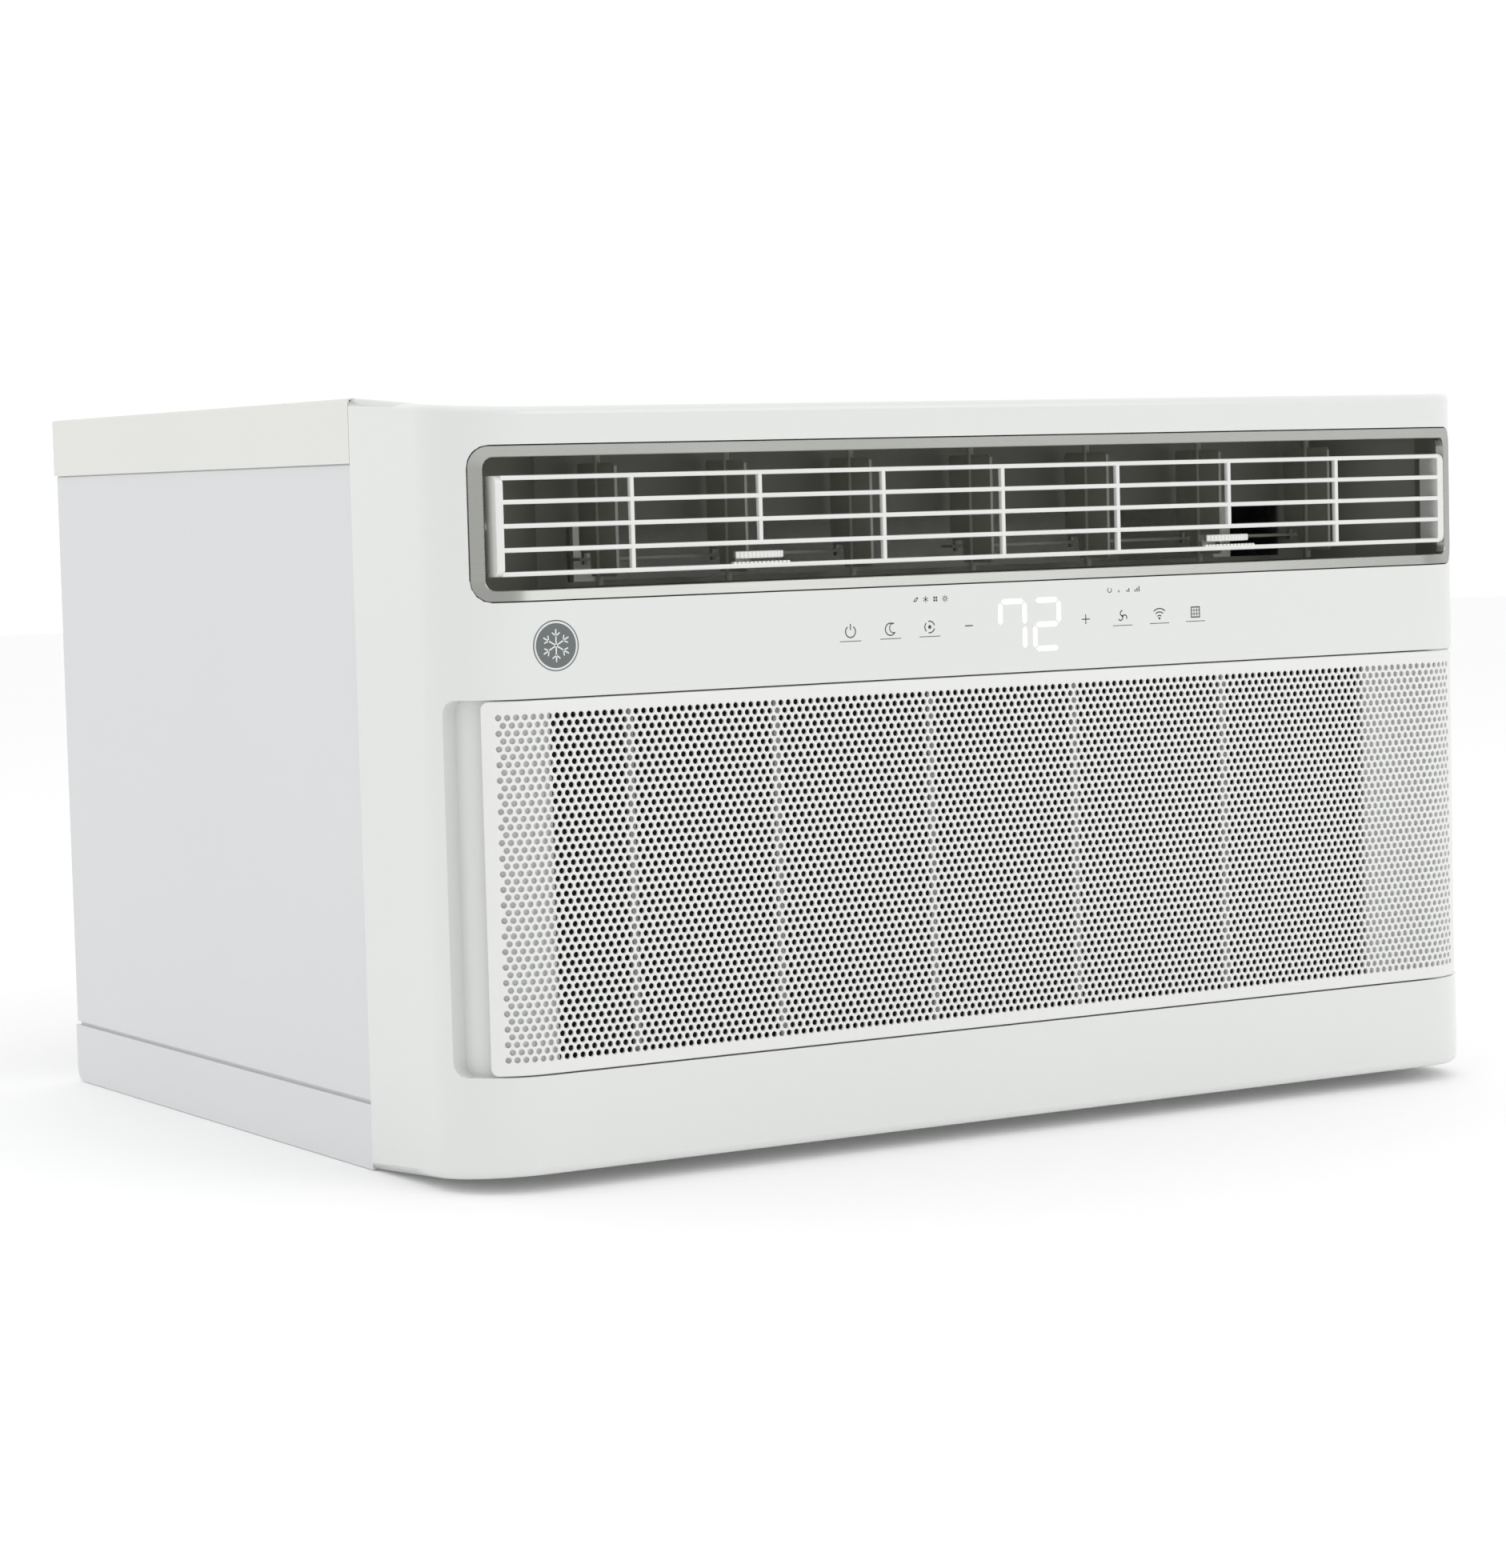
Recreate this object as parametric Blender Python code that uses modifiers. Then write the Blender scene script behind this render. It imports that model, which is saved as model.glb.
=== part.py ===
"""Through-the-wall room air conditioner: steel case, moulded front, louvres, fans and refrigeration set.

Metres, +Z up. The origin is on the floor under the middle of the whole unit, and the front faces -Y.
"""

import math

import bmesh
import bpy
from mathutils import Matrix, Vector

# Outer sizes.
WIDTH = 0.655
CASE_HEIGHT = 0.401
CASE_DEPTH = 0.420
FRONT_DEPTH = 0.119
HALF_WIDTH = WIDTH / 2
Y_FRONT = -(CASE_DEPTH + FRONT_DEPTH) / 2
Y_JOINT = Y_FRONT + FRONT_DEPTH
Y_BACK = Y_JOINT + CASE_DEPTH
GAP = 0.0003

# Sheet steel case.
SHEET = 0.0010
LID_LIP_Z = 0.3675
BAND_Z = 0.0343
PAN_WALL_Z = 0.046

# Moulded front.
CORNER_R = 0.0437
FRONT_WALL = 0.0026
FRONT_BOTTOM_RISE = 0.0085
FRONT_TOP_FALL = 0.0080
STRAIGHT_HALF = HALF_WIDTH - CORNER_R

# Grille recess and its panel.
RECESS_Z = (0.0590, 0.2480)
RECESS_ANGLE = math.radians(68)
RECESS_DEPTH = 0.0090
GRILLE_Z = (0.0597, 0.2472)
GRILLE_ANGLE = math.radians(40)
GRILLE_THICK = 0.0025
GRILLE_PIVOT = (Y_FRONT + 0.0012, 0.0609)
FILTER_RIBS = (-0.230, -0.144, -0.049, 0.044, 0.144)

# Outlet ring, louvre, levers and vanes.
BEZEL_Z = (0.2965, 0.3737)
BEZEL_OPEN_Z = (0.3019, 0.3680)
BEZEL_HALF = 0.3173
BEZEL_OPEN_HALF = 0.3097
LOUVRE_Z = (0.3087, 0.3589)
LOUVRE_HALF = 0.3030
LOUVRE_FRONT = Y_JOINT - 0.1153
LOUVRE_PIVOT = (Y_JOINT - 0.1015, 0.3338)
BAR_PITCH_Z = 0.01195
BAR_PITCH_X = 0.0752
BAR_THICK = 0.0025
LEVER_X = 2 * BAR_PITCH_X
LEVER_Y = Y_JOINT - 0.0950
LEVER_Z = (0.3137, 0.3173)
LEVER_REACH = 0.0200
LEVER_RIM_R = 0.0450
LEVER_HALF = 0.0148
DUCT_Z = (0.2985, 0.3750)
DUCT_HALF = 0.3069
DUCT_WALL = 0.0020
VANE_PITCH = 0.0774
VANE_FIRST_X = -0.2140
VANE_Y = Y_JOINT - 0.0570
VANE_Z = (0.3015, 0.3715)
VANE_COUNT = 7
LEFT_VANES = 3

# Air path and drive line.
AXLE_Z = 0.165
MOTOR_Y = Y_JOINT + 0.145
SHAFT_R = 0.005
WHEEL_R = 0.100
FAN_R = 0.132

for old in list(bpy.data.objects):
    bpy.data.objects.remove(old)

unit = bpy.data.collections.new("room_air_conditioner")
cutters = bpy.data.collections.new("cutters")
cutters.hide_render = True
bpy.context.scene.collection.children.link(unit)
bpy.context.scene.collection.children.link(cutters)


def finish(name, colour, roughness, metallic=0.0):
    """A material with one colour, roughness and metallic value."""
    made = bpy.data.materials.new(name)
    made.use_nodes = True
    shader = made.node_tree.nodes["Principled BSDF"]
    shader.inputs["Base Color"].default_value = (*colour, 1.0)
    shader.inputs["Roughness"].default_value = roughness
    shader.inputs["Metallic"].default_value = metallic
    return made


WHITE_PLASTIC = finish("white_plastic", (0.78, 0.80, 0.78), 0.30)
CASE_PAINT = finish("case_paint", (0.74, 0.75, 0.77), 0.45)
LID_PAINT = finish("lid_paint", (0.74, 0.74, 0.71), 0.45)
BRUSHED = finish("brushed_metal", (0.60, 0.60, 0.58), 0.30, 1.0)
DARK_PLASTIC = finish("dark_plastic", (0.07, 0.07, 0.065), 0.55)
FILTER_NET = finish("filter_net", (0.03, 0.03, 0.03), 0.80)
FINS = finish("aluminium_fins", (0.62, 0.63, 0.64), 0.40, 1.0)
COPPER = finish("copper_tube", (0.72, 0.38, 0.24), 0.30, 1.0)
GALVANISED = finish("galvanised_steel", (0.55, 0.56, 0.57), 0.45, 1.0)
BLACK_PAINT = finish("black_paint", (0.03, 0.03, 0.03), 0.40)
FOAM = finish("white_foam", (0.80, 0.80, 0.78), 0.90)
RUBBER = finish("black_rubber", (0.02, 0.02, 0.02), 0.80)
BOARD = finish("green_board", (0.05, 0.18, 0.09), 0.50)
HEATER_STEEL = finish("heater_steel", (0.35, 0.33, 0.31), 0.40, 1.0)


def place(name, bm, material=None, at=(0, 0, 0), turn=None):
    """Make an object from a mesh in progress. One with no material is a cutter."""
    mesh = bpy.data.meshes.new(name)
    bmesh.ops.recalc_face_normals(bm, faces=bm.faces)
    bm.to_mesh(mesh)
    bm.free()
    obj = bpy.data.objects.new(name, mesh)
    obj.location = at
    if turn:
        obj.rotation_euler = turn
    if material:
        mesh.materials.append(material)
        unit.objects.link(obj)
    else:
        obj.hide_render = True
        obj.display_type = "WIRE"
        cutters.objects.link(obj)
    return obj


def add_box(bm, low, high):
    """Add a box between two corners, and return its vertices."""
    low = Vector(low)
    high = Vector(high)
    sizes = Matrix.Diagonal((*(high - low), 1.0))
    made = bmesh.ops.create_cube(bm, size=1.0, matrix=Matrix.Translation((low + high) / 2) @ sizes)
    return made["verts"]


def bevel_edges(bm, wanted, radius, segments):
    """Round the edges for which wanted(edge) is true."""
    edges = [edge for edge in bm.edges if wanted(edge)]
    bmesh.ops.bevel(bm, geom=edges, offset=radius, segments=segments, affect="EDGES", profile=0.5)


def along(edge, axis):
    """True where an edge runs along one axis."""
    step = edge.verts[1].co - edge.verts[0].co
    return abs(step[axis]) > 0.999 * step.length


def box(name, low, high, material=None, bevel=0.0, segments=2, rounded_axis=None):
    """A box between two corners. Its edges are rounded all over, or only those along one axis."""
    middle = (Vector(low) + Vector(high)) / 2
    bm = bmesh.new()
    add_box(bm, Vector(low) - middle, Vector(high) - middle)
    if bevel:
        bevel_edges(bm, lambda edge: rounded_axis is None or along(edge, rounded_axis), bevel, segments)
    return place(name, bm, material, middle)


def boxes(name, corners, material=None):
    """Several separate boxes in one mesh, for a cutter."""
    bm = bmesh.new()
    for low, high in corners:
        add_box(bm, low, high)
    return place(name, bm, material)


def rod(name, centre, radius, length, axis, material=None, segments=24):
    """A cylinder along X, Y or Z, round its centre."""
    turn = {0: (0, math.pi / 2, 0), 1: (math.pi / 2, 0, 0), 2: (0, 0, 0)}[axis]
    bm = bmesh.new()
    bmesh.ops.create_cone(
        bm, cap_ends=True, segments=segments, radius1=radius, radius2=radius, depth=length
    )
    return place(name, bm, material, centre, turn)


def settle(obj):
    """Replace an object's shape by the one that its modifiers make."""
    bpy.context.view_layer.update()
    made = bpy.data.meshes.new_from_object(obj.evaluated_get(bpy.context.evaluated_depsgraph_get()))
    obj.modifiers.clear()
    obj.data = made
    return obj


def combine(target, other, operation="DIFFERENCE", solver="EXACT"):
    """Cut or join a piece with another shape, which becomes a cutter."""
    modifier = target.modifiers.new(f"{operation.lower()}_{other.name}", "BOOLEAN")
    modifier.operation = operation
    modifier.solver = solver
    modifier.object = other
    other.hide_render = True
    other.display_type = "WIRE"
    return target


def turned(name, profile, material, centre, axis=2, steps=32, closed=False):
    """A profile of (radius, height) points, outer side top to bottom, turned about an axis."""
    turn = {0: (0, math.pi / 2, 0), 1: (math.pi / 2, 0, 0), 2: (0, 0, 0)}[axis]
    bm = bmesh.new()
    points = [bm.verts.new((radius, 0, height)) for radius, height in profile]
    for first, second in zip(points, points[1:]):
        bm.edges.new((first, second))
    if closed:
        bm.edges.new((points[-1], points[0]))
    obj = place(name, bm, material, centre, turn)
    screw = obj.modifiers.new("turn", "SCREW")
    screw.steps = steps
    screw.render_steps = steps
    screw.use_merge_vertices = True
    screw.merge_threshold = 0.00001
    screw.use_normal_calculate = False
    return obj


def prism(name, outline, low, high, material=None, axis=2):
    """A flat outline given thickness along Z, or along X for an outline of (y, z) points."""
    curve = bpy.data.curves.new(name, "CURVE")
    curve.dimensions = "2D"
    curve.fill_mode = "BOTH"
    curve.extrude = (high - low) / 2
    spline = curve.splines.new("POLY")
    spline.points.add(len(outline) - 1)
    for point, (across, up) in zip(spline.points, outline):
        point.co = (across, up, 0, 1)
    spline.use_cyclic_u = True
    drawn = bpy.data.objects.new(name, curve)
    if axis == 0:
        drawn.matrix_world = Matrix.Translation(((low + high) / 2, 0, 0)) @ Matrix(
            ((0, 0, 1, 0), (1, 0, 0, 0), (0, 1, 0, 0), (0, 0, 0, 1))
        )
    else:
        drawn.location = (0, 0, (low + high) / 2)
    bpy.context.scene.collection.objects.link(drawn)
    bpy.context.view_layer.update()
    shape = bpy.data.meshes.new_from_object(drawn.evaluated_get(bpy.context.evaluated_depsgraph_get()))
    shape.transform(drawn.matrix_world)
    bm = bmesh.new()
    bm.from_mesh(shape)
    bmesh.ops.remove_doubles(bm, verts=bm.verts, dist=0.00001)
    bpy.data.objects.remove(drawn)
    bpy.data.meshes.remove(shape)
    return place(name, bm, material)


def smooth_path(points, between=6):
    """Points on a smooth curve through the given ones."""
    knots = [Vector(point) for point in points]
    knots = [2 * knots[0] - knots[1], *knots, 2 * knots[-1] - knots[-2]]
    path = []
    for before, start, end, after in zip(knots, knots[1:], knots[2:], knots[3:]):
        for step in range(between):
            t = step / between
            path.append(
                0.5
                * (
                    2 * start
                    + (end - before) * t
                    + (2 * before - 5 * start + 4 * end - after) * t**2
                    + (3 * start - before - 3 * end + after) * t**3
                )
            )
    path.append(knots[-2])
    return path


def tube(name, path, radius, material):
    """A round tube along a path, with closed ends."""
    curve = bpy.data.curves.new(name, "CURVE")
    curve.dimensions = "3D"
    curve.bevel_depth = radius
    curve.bevel_resolution = 1
    curve.use_fill_caps = True
    spline = curve.splines.new("POLY")
    spline.points.add(len(path) - 1)
    for point, place_at in zip(spline.points, path):
        point.co = (*place_at, 1)
    obj = bpy.data.objects.new(name, curve)
    curve.materials.append(material)
    unit.objects.link(obj)
    return obj


def around_front(s, depth):
    """The place in plan that is s along the front's outline from its middle, and depth in from it."""
    side = math.copysign(1, s)
    run = abs(s) - STRAIGHT_HALF
    arc = CORNER_R * math.pi / 2
    if run <= 0:
        return s, Y_FRONT + depth
    if run <= arc:
        angle = run / CORNER_R
        radius = CORNER_R - depth
        out = STRAIGHT_HALF + radius * math.sin(angle)
        return side * out, Y_FRONT + CORNER_R - radius * math.cos(angle)
    return side * (HALF_WIDTH - depth), Y_FRONT + CORNER_R + run - arc


def wrap(obj, steps=10):
    """Bend a flat piece, drawn as X = distance along the front, Y = depth, round the front's corners."""
    settle(obj)
    bm = bmesh.new()
    bm.from_mesh(obj.data)
    bm.transform(Matrix.Translation(obj.location))
    bmesh.ops.triangulate(bm, faces=bm.faces)
    for side in (-1, 1):
        for step in range(steps + 1):
            cut = side * (STRAIGHT_HALF + CORNER_R * math.pi / 2 * step / steps)
            everything = bm.verts[:] + bm.edges[:] + bm.faces[:]
            bmesh.ops.bisect_plane(
                bm, geom=everything, dist=0.000001, plane_co=(cut, 0, 0), plane_no=(1, 0, 0)
            )
    for vert in bm.verts:
        vert.co.x, vert.co.y = around_front(vert.co.x, vert.co.y)
    bmesh.ops.dissolve_degenerate(bm, dist=0.000001, edges=bm.edges)
    bm.to_mesh(obj.data)
    bm.free()
    obj.location = (0, 0, 0)
    return obj


def front_volume(name, inset, low, high, back, material=None, edge_r=0.0):
    """The front's round-cornered volume, drawn in by inset.

    low and high each give z at the joint and z at the face.
    """
    bm = bmesh.new()
    add_box(bm, (-HALF_WIDTH + inset, Y_FRONT + inset, 0), (HALF_WIDTH - inset, back, 1))
    bevel_edges(bm, lambda e: along(e, 2) and e.verts[0].co.y < back - 0.001, CORNER_R - inset, 12)
    run = Y_JOINT - Y_FRONT
    for vert in bm.verts:
        share = max(0.0, (Y_JOINT - vert.co.y) / run)
        ends = high if vert.co.z > 0.5 else low
        vert.co.z = ends[0] + (ends[1] - ends[0]) * share
    if edge_r:
        rim = [
            edge
            for edge in bm.edges
            if min(v.co.y for v in edge.verts) < back - 0.001
            and abs(edge.verts[0].co.z - edge.verts[1].co.z) < 0.05
        ]
        bmesh.ops.bevel(bm, geom=rim, offset=edge_r, segments=4, affect="EDGES", profile=0.5)
    return place(name, bm, material)


# --- Steel case -------------------------------------------------------------------------------------------


def make_base_pan():
    """Tray with a tall band, joggled in at its top so that the sides stand outside it."""
    bm = bmesh.new()
    outer = HALF_WIDTH - 0.0003
    add_box(bm, (-outer, Y_JOINT + 0.0005, 0), (outer, Y_BACK - SHEET - GAP, PAN_WALL_Z))
    back = Y_BACK - SHEET - GAP
    bevel_edges(
        bm, lambda e: along(e, 0) and all(v.co.z < 0.001 and v.co.y > back - 0.001 for v in e.verts), 0.008, 4
    )
    pan = place("base_pan", bm, CASE_PAINT)
    lip = 0.3248
    ring = box("pan_ring", (-0.34, Y_JOINT - 0.01, BAND_Z), (0.34, Y_BACK + 0.01, 0.06))
    combine(ring, box("pan_lip", (-lip, Y_JOINT - 0.02, 0.02), (lip, back - 0.0025, 0.07)))
    combine(pan, ring)
    inner = outer - 0.0013
    combine(pan, box("pan_floor", (-inner, Y_JOINT - 0.01, 0.0013), (inner, back - 0.0013, BAND_Z - 0.001)))
    inner = lip - 0.0012
    return combine(pan, box("pan_mouth", (-inner, Y_JOINT - 0.01, 0.02), (inner, back - 0.0037, 0.06)))


def make_side(name, side):
    """Flat side panel of the case, joggled in at its top so that the lid's lip stands over it."""
    front = Y_JOINT + 0.0005
    back = Y_BACK - SHEET - GAP
    face = side * (HALF_WIDTH - SHEET - GAP)
    inner = face - side * SHEET
    low = (min(face, inner), front, 0.0363)
    panel = box(name, low, (max(face, inner), back, LID_LIP_Z - 0.0008), CASE_PAINT)
    joggle = side * 0.0006
    low = (min(face, inner) - joggle, front, LID_LIP_Z - 0.0028)
    high = (max(face, inner) - joggle, back, CASE_HEIGHT - SHEET - GAP)
    return combine(panel, box(f"{name}_flange", low, high), "UNION")


def make_lid():
    """Top cover with lips that hang over the sides and the back."""
    bm = bmesh.new()
    add_box(bm, (-HALF_WIDTH, Y_JOINT + 0.0005, LID_LIP_Z), (HALF_WIDTH, Y_BACK, CASE_HEIGHT))
    bevel_edges(bm, lambda e: along(e, 1) and all(v.co.z > 0.4 for v in e.verts), 0.0012, 2)
    lid = place("case_top_cover", bm, LID_PAINT)
    inside = HALF_WIDTH - SHEET
    low = (-inside, Y_JOINT - 0.01, LID_LIP_Z - 0.01)
    return combine(lid, box("lid_hollow", low, (inside, Y_BACK - SHEET, CASE_HEIGHT - SHEET)))


def make_rear_grille():
    """Outdoor guard: a steel plate with rows of long slots."""
    low_y = Y_BACK - 0.0125
    guard = box("rear_grille", (-0.3230, low_y, 0.0475), (0.3230, low_y + 0.0015, 0.3985), GALVANISED)
    columns = 4
    rows = 14
    pitch_x = 0.154
    pitch_z = 0.0235
    slots = []
    for column in range(columns):
        middle = (column - (columns - 1) / 2) * pitch_x
        for row in range(rows):
            foot = 0.0640 + row * pitch_z
            high = (middle + 0.070, low_y + 0.01, foot + 0.0150)
            slots.append(((middle - 0.070, low_y - 0.01, foot), high))
    return combine(guard, boxes("guard_slots", slots))


# --- Moulded front ----------------------------------------------------------------------------------------


def make_front_frame():
    """The whole moulded front: rounded shell, grille recess with its floor, and the outlet opening."""
    top = (CASE_HEIGHT, CASE_HEIGHT - FRONT_TOP_FALL)
    bottom = (0.0, FRONT_BOTTOM_RISE)
    frame = front_volume("front_frame", 0.0, bottom, top, Y_JOINT, WHITE_PLASTIC, edge_r=0.0045)
    wall = FRONT_WALL
    open_back = Y_JOINT + 0.02
    low_room = (bottom[0] + wall, bottom[1] + wall)
    combine(frame, front_volume("lower_room", wall, low_room, (0.0565, 0.0565), open_back))
    deep = RECESS_DEPTH + wall
    combine(frame, front_volume("middle_room", deep, (0.0560, 0.0560), (0.2510, 0.2510), open_back))
    high_room = (top[0] - wall, top[1] - wall)
    combine(frame, front_volume("upper_room", wall, (0.2506, 0.2506), high_room, open_back))
    side = HALF_WIDTH - wall
    combine(frame, box("side_room", (-side, Y_JOINT - 0.0850, 0.0560), (side, open_back, 0.2510)))
    reach = STRAIGHT_HALF + CORNER_R * RECESS_ANGLE
    recess = box(
        "recess",
        (-reach, -0.006, RECESS_Z[0]),
        (reach, RECESS_DEPTH, RECESS_Z[1]),
        bevel=0.0075,
        segments=4,
        rounded_axis=1,
    )
    combine(frame, wrap(recess))
    combine(frame, box("intake", (-0.2720, Y_FRONT, 0.0720), (0.2720, Y_FRONT + 0.02, 0.2380)))
    opening = box(
        "outlet",
        (-BEZEL_HALF - 0.0005, -0.006, BEZEL_Z[0] - 0.0005),
        (BEZEL_HALF + 0.0005, 0.0065, BEZEL_Z[1] + 0.0005),
        bevel=0.0115,
        segments=4,
        rounded_axis=1,
    )
    combine(frame, wrap(opening))
    return frame


def make_bezel():
    """Brushed ring round the outlet, bent round the corners of the front."""
    ring = box(
        "discharge_bezel",
        (-BEZEL_HALF, 0.0, BEZEL_Z[0]),
        (BEZEL_HALF, 0.0060, BEZEL_Z[1]),
        BRUSHED,
        bevel=0.0110,
        segments=4,
        rounded_axis=1,
    )
    hole = box(
        "bezel_hole",
        (-BEZEL_OPEN_HALF, -0.01, BEZEL_OPEN_Z[0]),
        (BEZEL_OPEN_HALF, 0.02, BEZEL_OPEN_Z[1]),
        bevel=0.0055,
        segments=3,
        rounded_axis=1,
    )
    return wrap(combine(ring, hole))


def make_intake_grille():
    """Bent intake panel, hinged along its lower edge. It is drawn plain, without its fine perforations."""
    reach = STRAIGHT_HALF + CORNER_R * GRILLE_ANGLE
    panel = box(
        "intake_grille",
        (-reach, 0.0, GRILLE_Z[0]),
        (reach, GRILLE_THICK, GRILLE_Z[1]),
        WHITE_PLASTIC,
        bevel=0.0040,
        segments=3,
        rounded_axis=1,
    )
    return wrap(panel)


def make_filter():
    """Pale filter frame with upright ribs, blank at its right end, and the dark net that it holds."""
    front = Y_FRONT + 0.0050
    back = Y_FRONT + 0.0080
    frame = box("filter_frame", (-0.2835, front, 0.0635), (0.2835, back, 0.2440), WHITE_PLASTIC)
    half_rib = 0.0017
    edges = [-0.2815 - half_rib, *FILTER_RIBS, 0.2400 + half_rib]
    windows = []
    for left, right in zip(edges, edges[1:]):
        windows.append(((left + half_rib, front - 0.01, 0.0655), (right - half_rib, back + 0.01, 0.2420)))
    combine(frame, boxes("filter_windows", windows))
    net = box("filter_net", (-0.2830, back + GAP, 0.0640), (0.2450, back + GAP + 0.0006, 0.2435), FILTER_NET)
    return frame, net


# --- Louvre, levers and vanes -----------------------------------------------------------------------------


def bar_edges(count, pitch, middle):
    """Lower and upper edges of evenly spaced bars."""
    first = middle - pitch * (count - 1) / 2
    return [(first + pitch * i - BAR_THICK / 2, first + pitch * i + BAR_THICK / 2) for i in range(count)]


def make_louvre():
    """One moulded grid that tilts on a pin at each end, with a toothed ledge and an arm under each lever."""
    back = LOUVRE_FRONT + 0.0055
    middle_z = (LOUVRE_Z[0] + LOUVRE_Z[1]) / 2
    corner = (-0.3000, LOUVRE_FRONT, LOUVRE_Z[0])
    grid = box("louvre_frame", corner, (0.3000, back, LOUVRE_Z[1]), WHITE_PLASTIC)
    rows = bar_edges(5, BAR_PITCH_Z, middle_z)
    columns = [(-0.3000, -0.2990), *bar_edges(7, BAR_PITCH_X, 0.0), (0.2990, 0.3000)]
    cells = []
    for row, (lower, upper) in enumerate(zip(rows, rows[1:])):
        for column, (left, right) in enumerate(zip(columns, columns[1:])):
            low = (left[1], LOUVRE_FRONT - 0.01, lower[1])
            high = (right[0], back + 0.01, upper[0])
            if row == 0 and column in (1, 5):
                high = (columns[column + 2][0], *high[1:])
            if row == 0 and column in (2, 6):
                continue
            cells.append((low, high))
    combine(grid, boxes("louvre_cells", cells))
    for side in (-1, 1):
        inner = side * 0.2985
        outer = side * LOUVRE_HALF
        cap = box(
            f"louvre_cap_{side}",
            (min(inner, outer), LOUVRE_FRONT, LOUVRE_Z[0]),
            (max(inner, outer), LOUVRE_FRONT + 0.017, LOUVRE_Z[1]),
            bevel=0.0040,
            segments=4,
            rounded_axis=0,
        )
        combine(grid, cap, "UNION")
        pin_x = side * (LOUVRE_HALF + 0.0013)
        pin = rod(f"louvre_pin_{side}", (pin_x, *LOUVRE_PIVOT), 0.0026, 0.0066, 0, segments=16)
        combine(grid, pin, "UNION")
        combine(grid, make_shelf(f"lever_shelf_{side}", side * LEVER_X), "UNION")
    return grid


def make_shelf(name, x):
    """Ledge on the bottom bar with fourteen teeth, and the narrow arm that carries the lever."""
    low = LOUVRE_Z[0] + 0.0002
    top = LOUVRE_Z[0] + BAR_THICK - 0.0002
    shelf = box(name, (x - 0.0172, LOUVRE_FRONT + 0.0002, low), (x + 0.0172, LOUVRE_FRONT + 0.0060, top))
    arm_low = (x - 0.0045, LOUVRE_FRONT + 0.0040, low + 0.0001)
    arm_high = (x + 0.0045, LOUVRE_FRONT + 0.0270, top - 0.0001)
    combine(shelf, box(f"arm_{name}", arm_low, arm_high), "UNION")
    teeth = 14
    pitch = 0.0344 / teeth
    bm = bmesh.new()
    for tooth in range(teeth):
        middle = x - 0.0172 + pitch * (tooth + 0.5)
        corners = add_box(
            bm,
            (middle - pitch * 0.46, LOUVRE_FRONT + 0.0004, low + 0.001),
            (middle + pitch * 0.46, LOUVRE_FRONT + 0.0030, LOUVRE_Z[0] + BAR_THICK + 0.0012),
        )
        for vert in corners:
            if vert.co.z > low + 0.002:
                vert.co.x = middle + (vert.co.x - middle) * 0.3
    combine(shelf, place(f"teeth_{name}", bm), "UNION")
    return settle(shelf)


def make_lever(name, x):
    """Flat lever with a ribbed rim and a slim tail. It turns on its arm and aims one bank of vanes."""
    ribs = 13
    half_angle = math.asin(LEVER_HALF / LEVER_RIM_R)
    rim_y = LEVER_Y - LEVER_REACH + LEVER_RIM_R
    steps = ribs * 2
    outline = []
    for step in range(steps + 1):
        angle = -half_angle + 2 * half_angle * step / steps
        radius = LEVER_RIM_R - (0.0004 if step % 2 else 0.0)
        outline.append((x + radius * math.sin(angle), rim_y - radius * math.cos(angle)))
    tail = [(0.0080, -0.0090), (0.0043, -0.0015), (0.0016, 0.0040), (0.0012, 0.0070)]
    outline += [(x + across, LEVER_Y + back) for across, back in tail]
    outline += [(x - across, LEVER_Y + back) for across, back in reversed(tail)]
    lever = prism(name, outline, *LEVER_Z, WHITE_PLASTIC)
    boss = rod(f"boss_{name}", (x, LEVER_Y, 0.3128), 0.0040, 0.0026, 2, segments=20)
    return combine(lever, boss, "UNION")


def vane_x(number):
    return VANE_FIRST_X + VANE_PITCH * number


def make_vane(number):
    """Upright blade with a tab at its foot that reaches through the link bar, and a pin at each end."""
    x = vane_x(number)
    front = Y_JOINT - 0.0770
    back = Y_JOINT - 0.0370
    tab = Y_JOINT - 0.0420
    outline = [
        (front, 0.3075),
        (front + 0.0015, 0.3060),
        (Y_JOINT - 0.0500, 0.3060),
        (Y_JOINT - 0.0485, 0.3180),
        (tab, 0.3180),
        (tab, 0.3120),
        (tab + 0.0030, 0.3120),
        (tab + 0.0030, 0.3180),
        (back, 0.3200),
        (back, 0.3630),
        (back - 0.0015, 0.3645),
        (front + 0.0015, 0.3645),
        (front, 0.3630),
    ]
    vane = prism(f"vane_{number + 1}", outline, x - 0.0008, x + 0.0008, DARK_PLASTIC, axis=0)
    pin_low, pin_high = VANE_Z
    middle = (x, VANE_Y, (pin_low + pin_high) / 2)
    pin = rod(f"vane_pin_{number}", middle, 0.0018, pin_high - pin_low, 2, segments=12)
    return combine(vane, pin, "UNION", "MANIFOLD")


def make_link(name, numbers):
    """Thin bar that a tab of each vane passes through, so that a bank turns together."""
    first = vane_x(numbers[0])
    last = vane_x(numbers[-1])
    middle_y = Y_JOINT - 0.0405
    low = (first - 0.006, middle_y - 0.0060, 0.3140)
    bar = box(name, low, (last + 0.006, middle_y + 0.0050, 0.3156), DARK_PLASTIC)
    slots = []
    for number in numbers:
        x = vane_x(number)
        slots.append(((x - 0.0020, middle_y - 0.0045, 0.31), (x + 0.0020, middle_y + 0.0028, 0.32)))
    return combine(bar, boxes(f"slots_{name}", slots))


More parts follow.
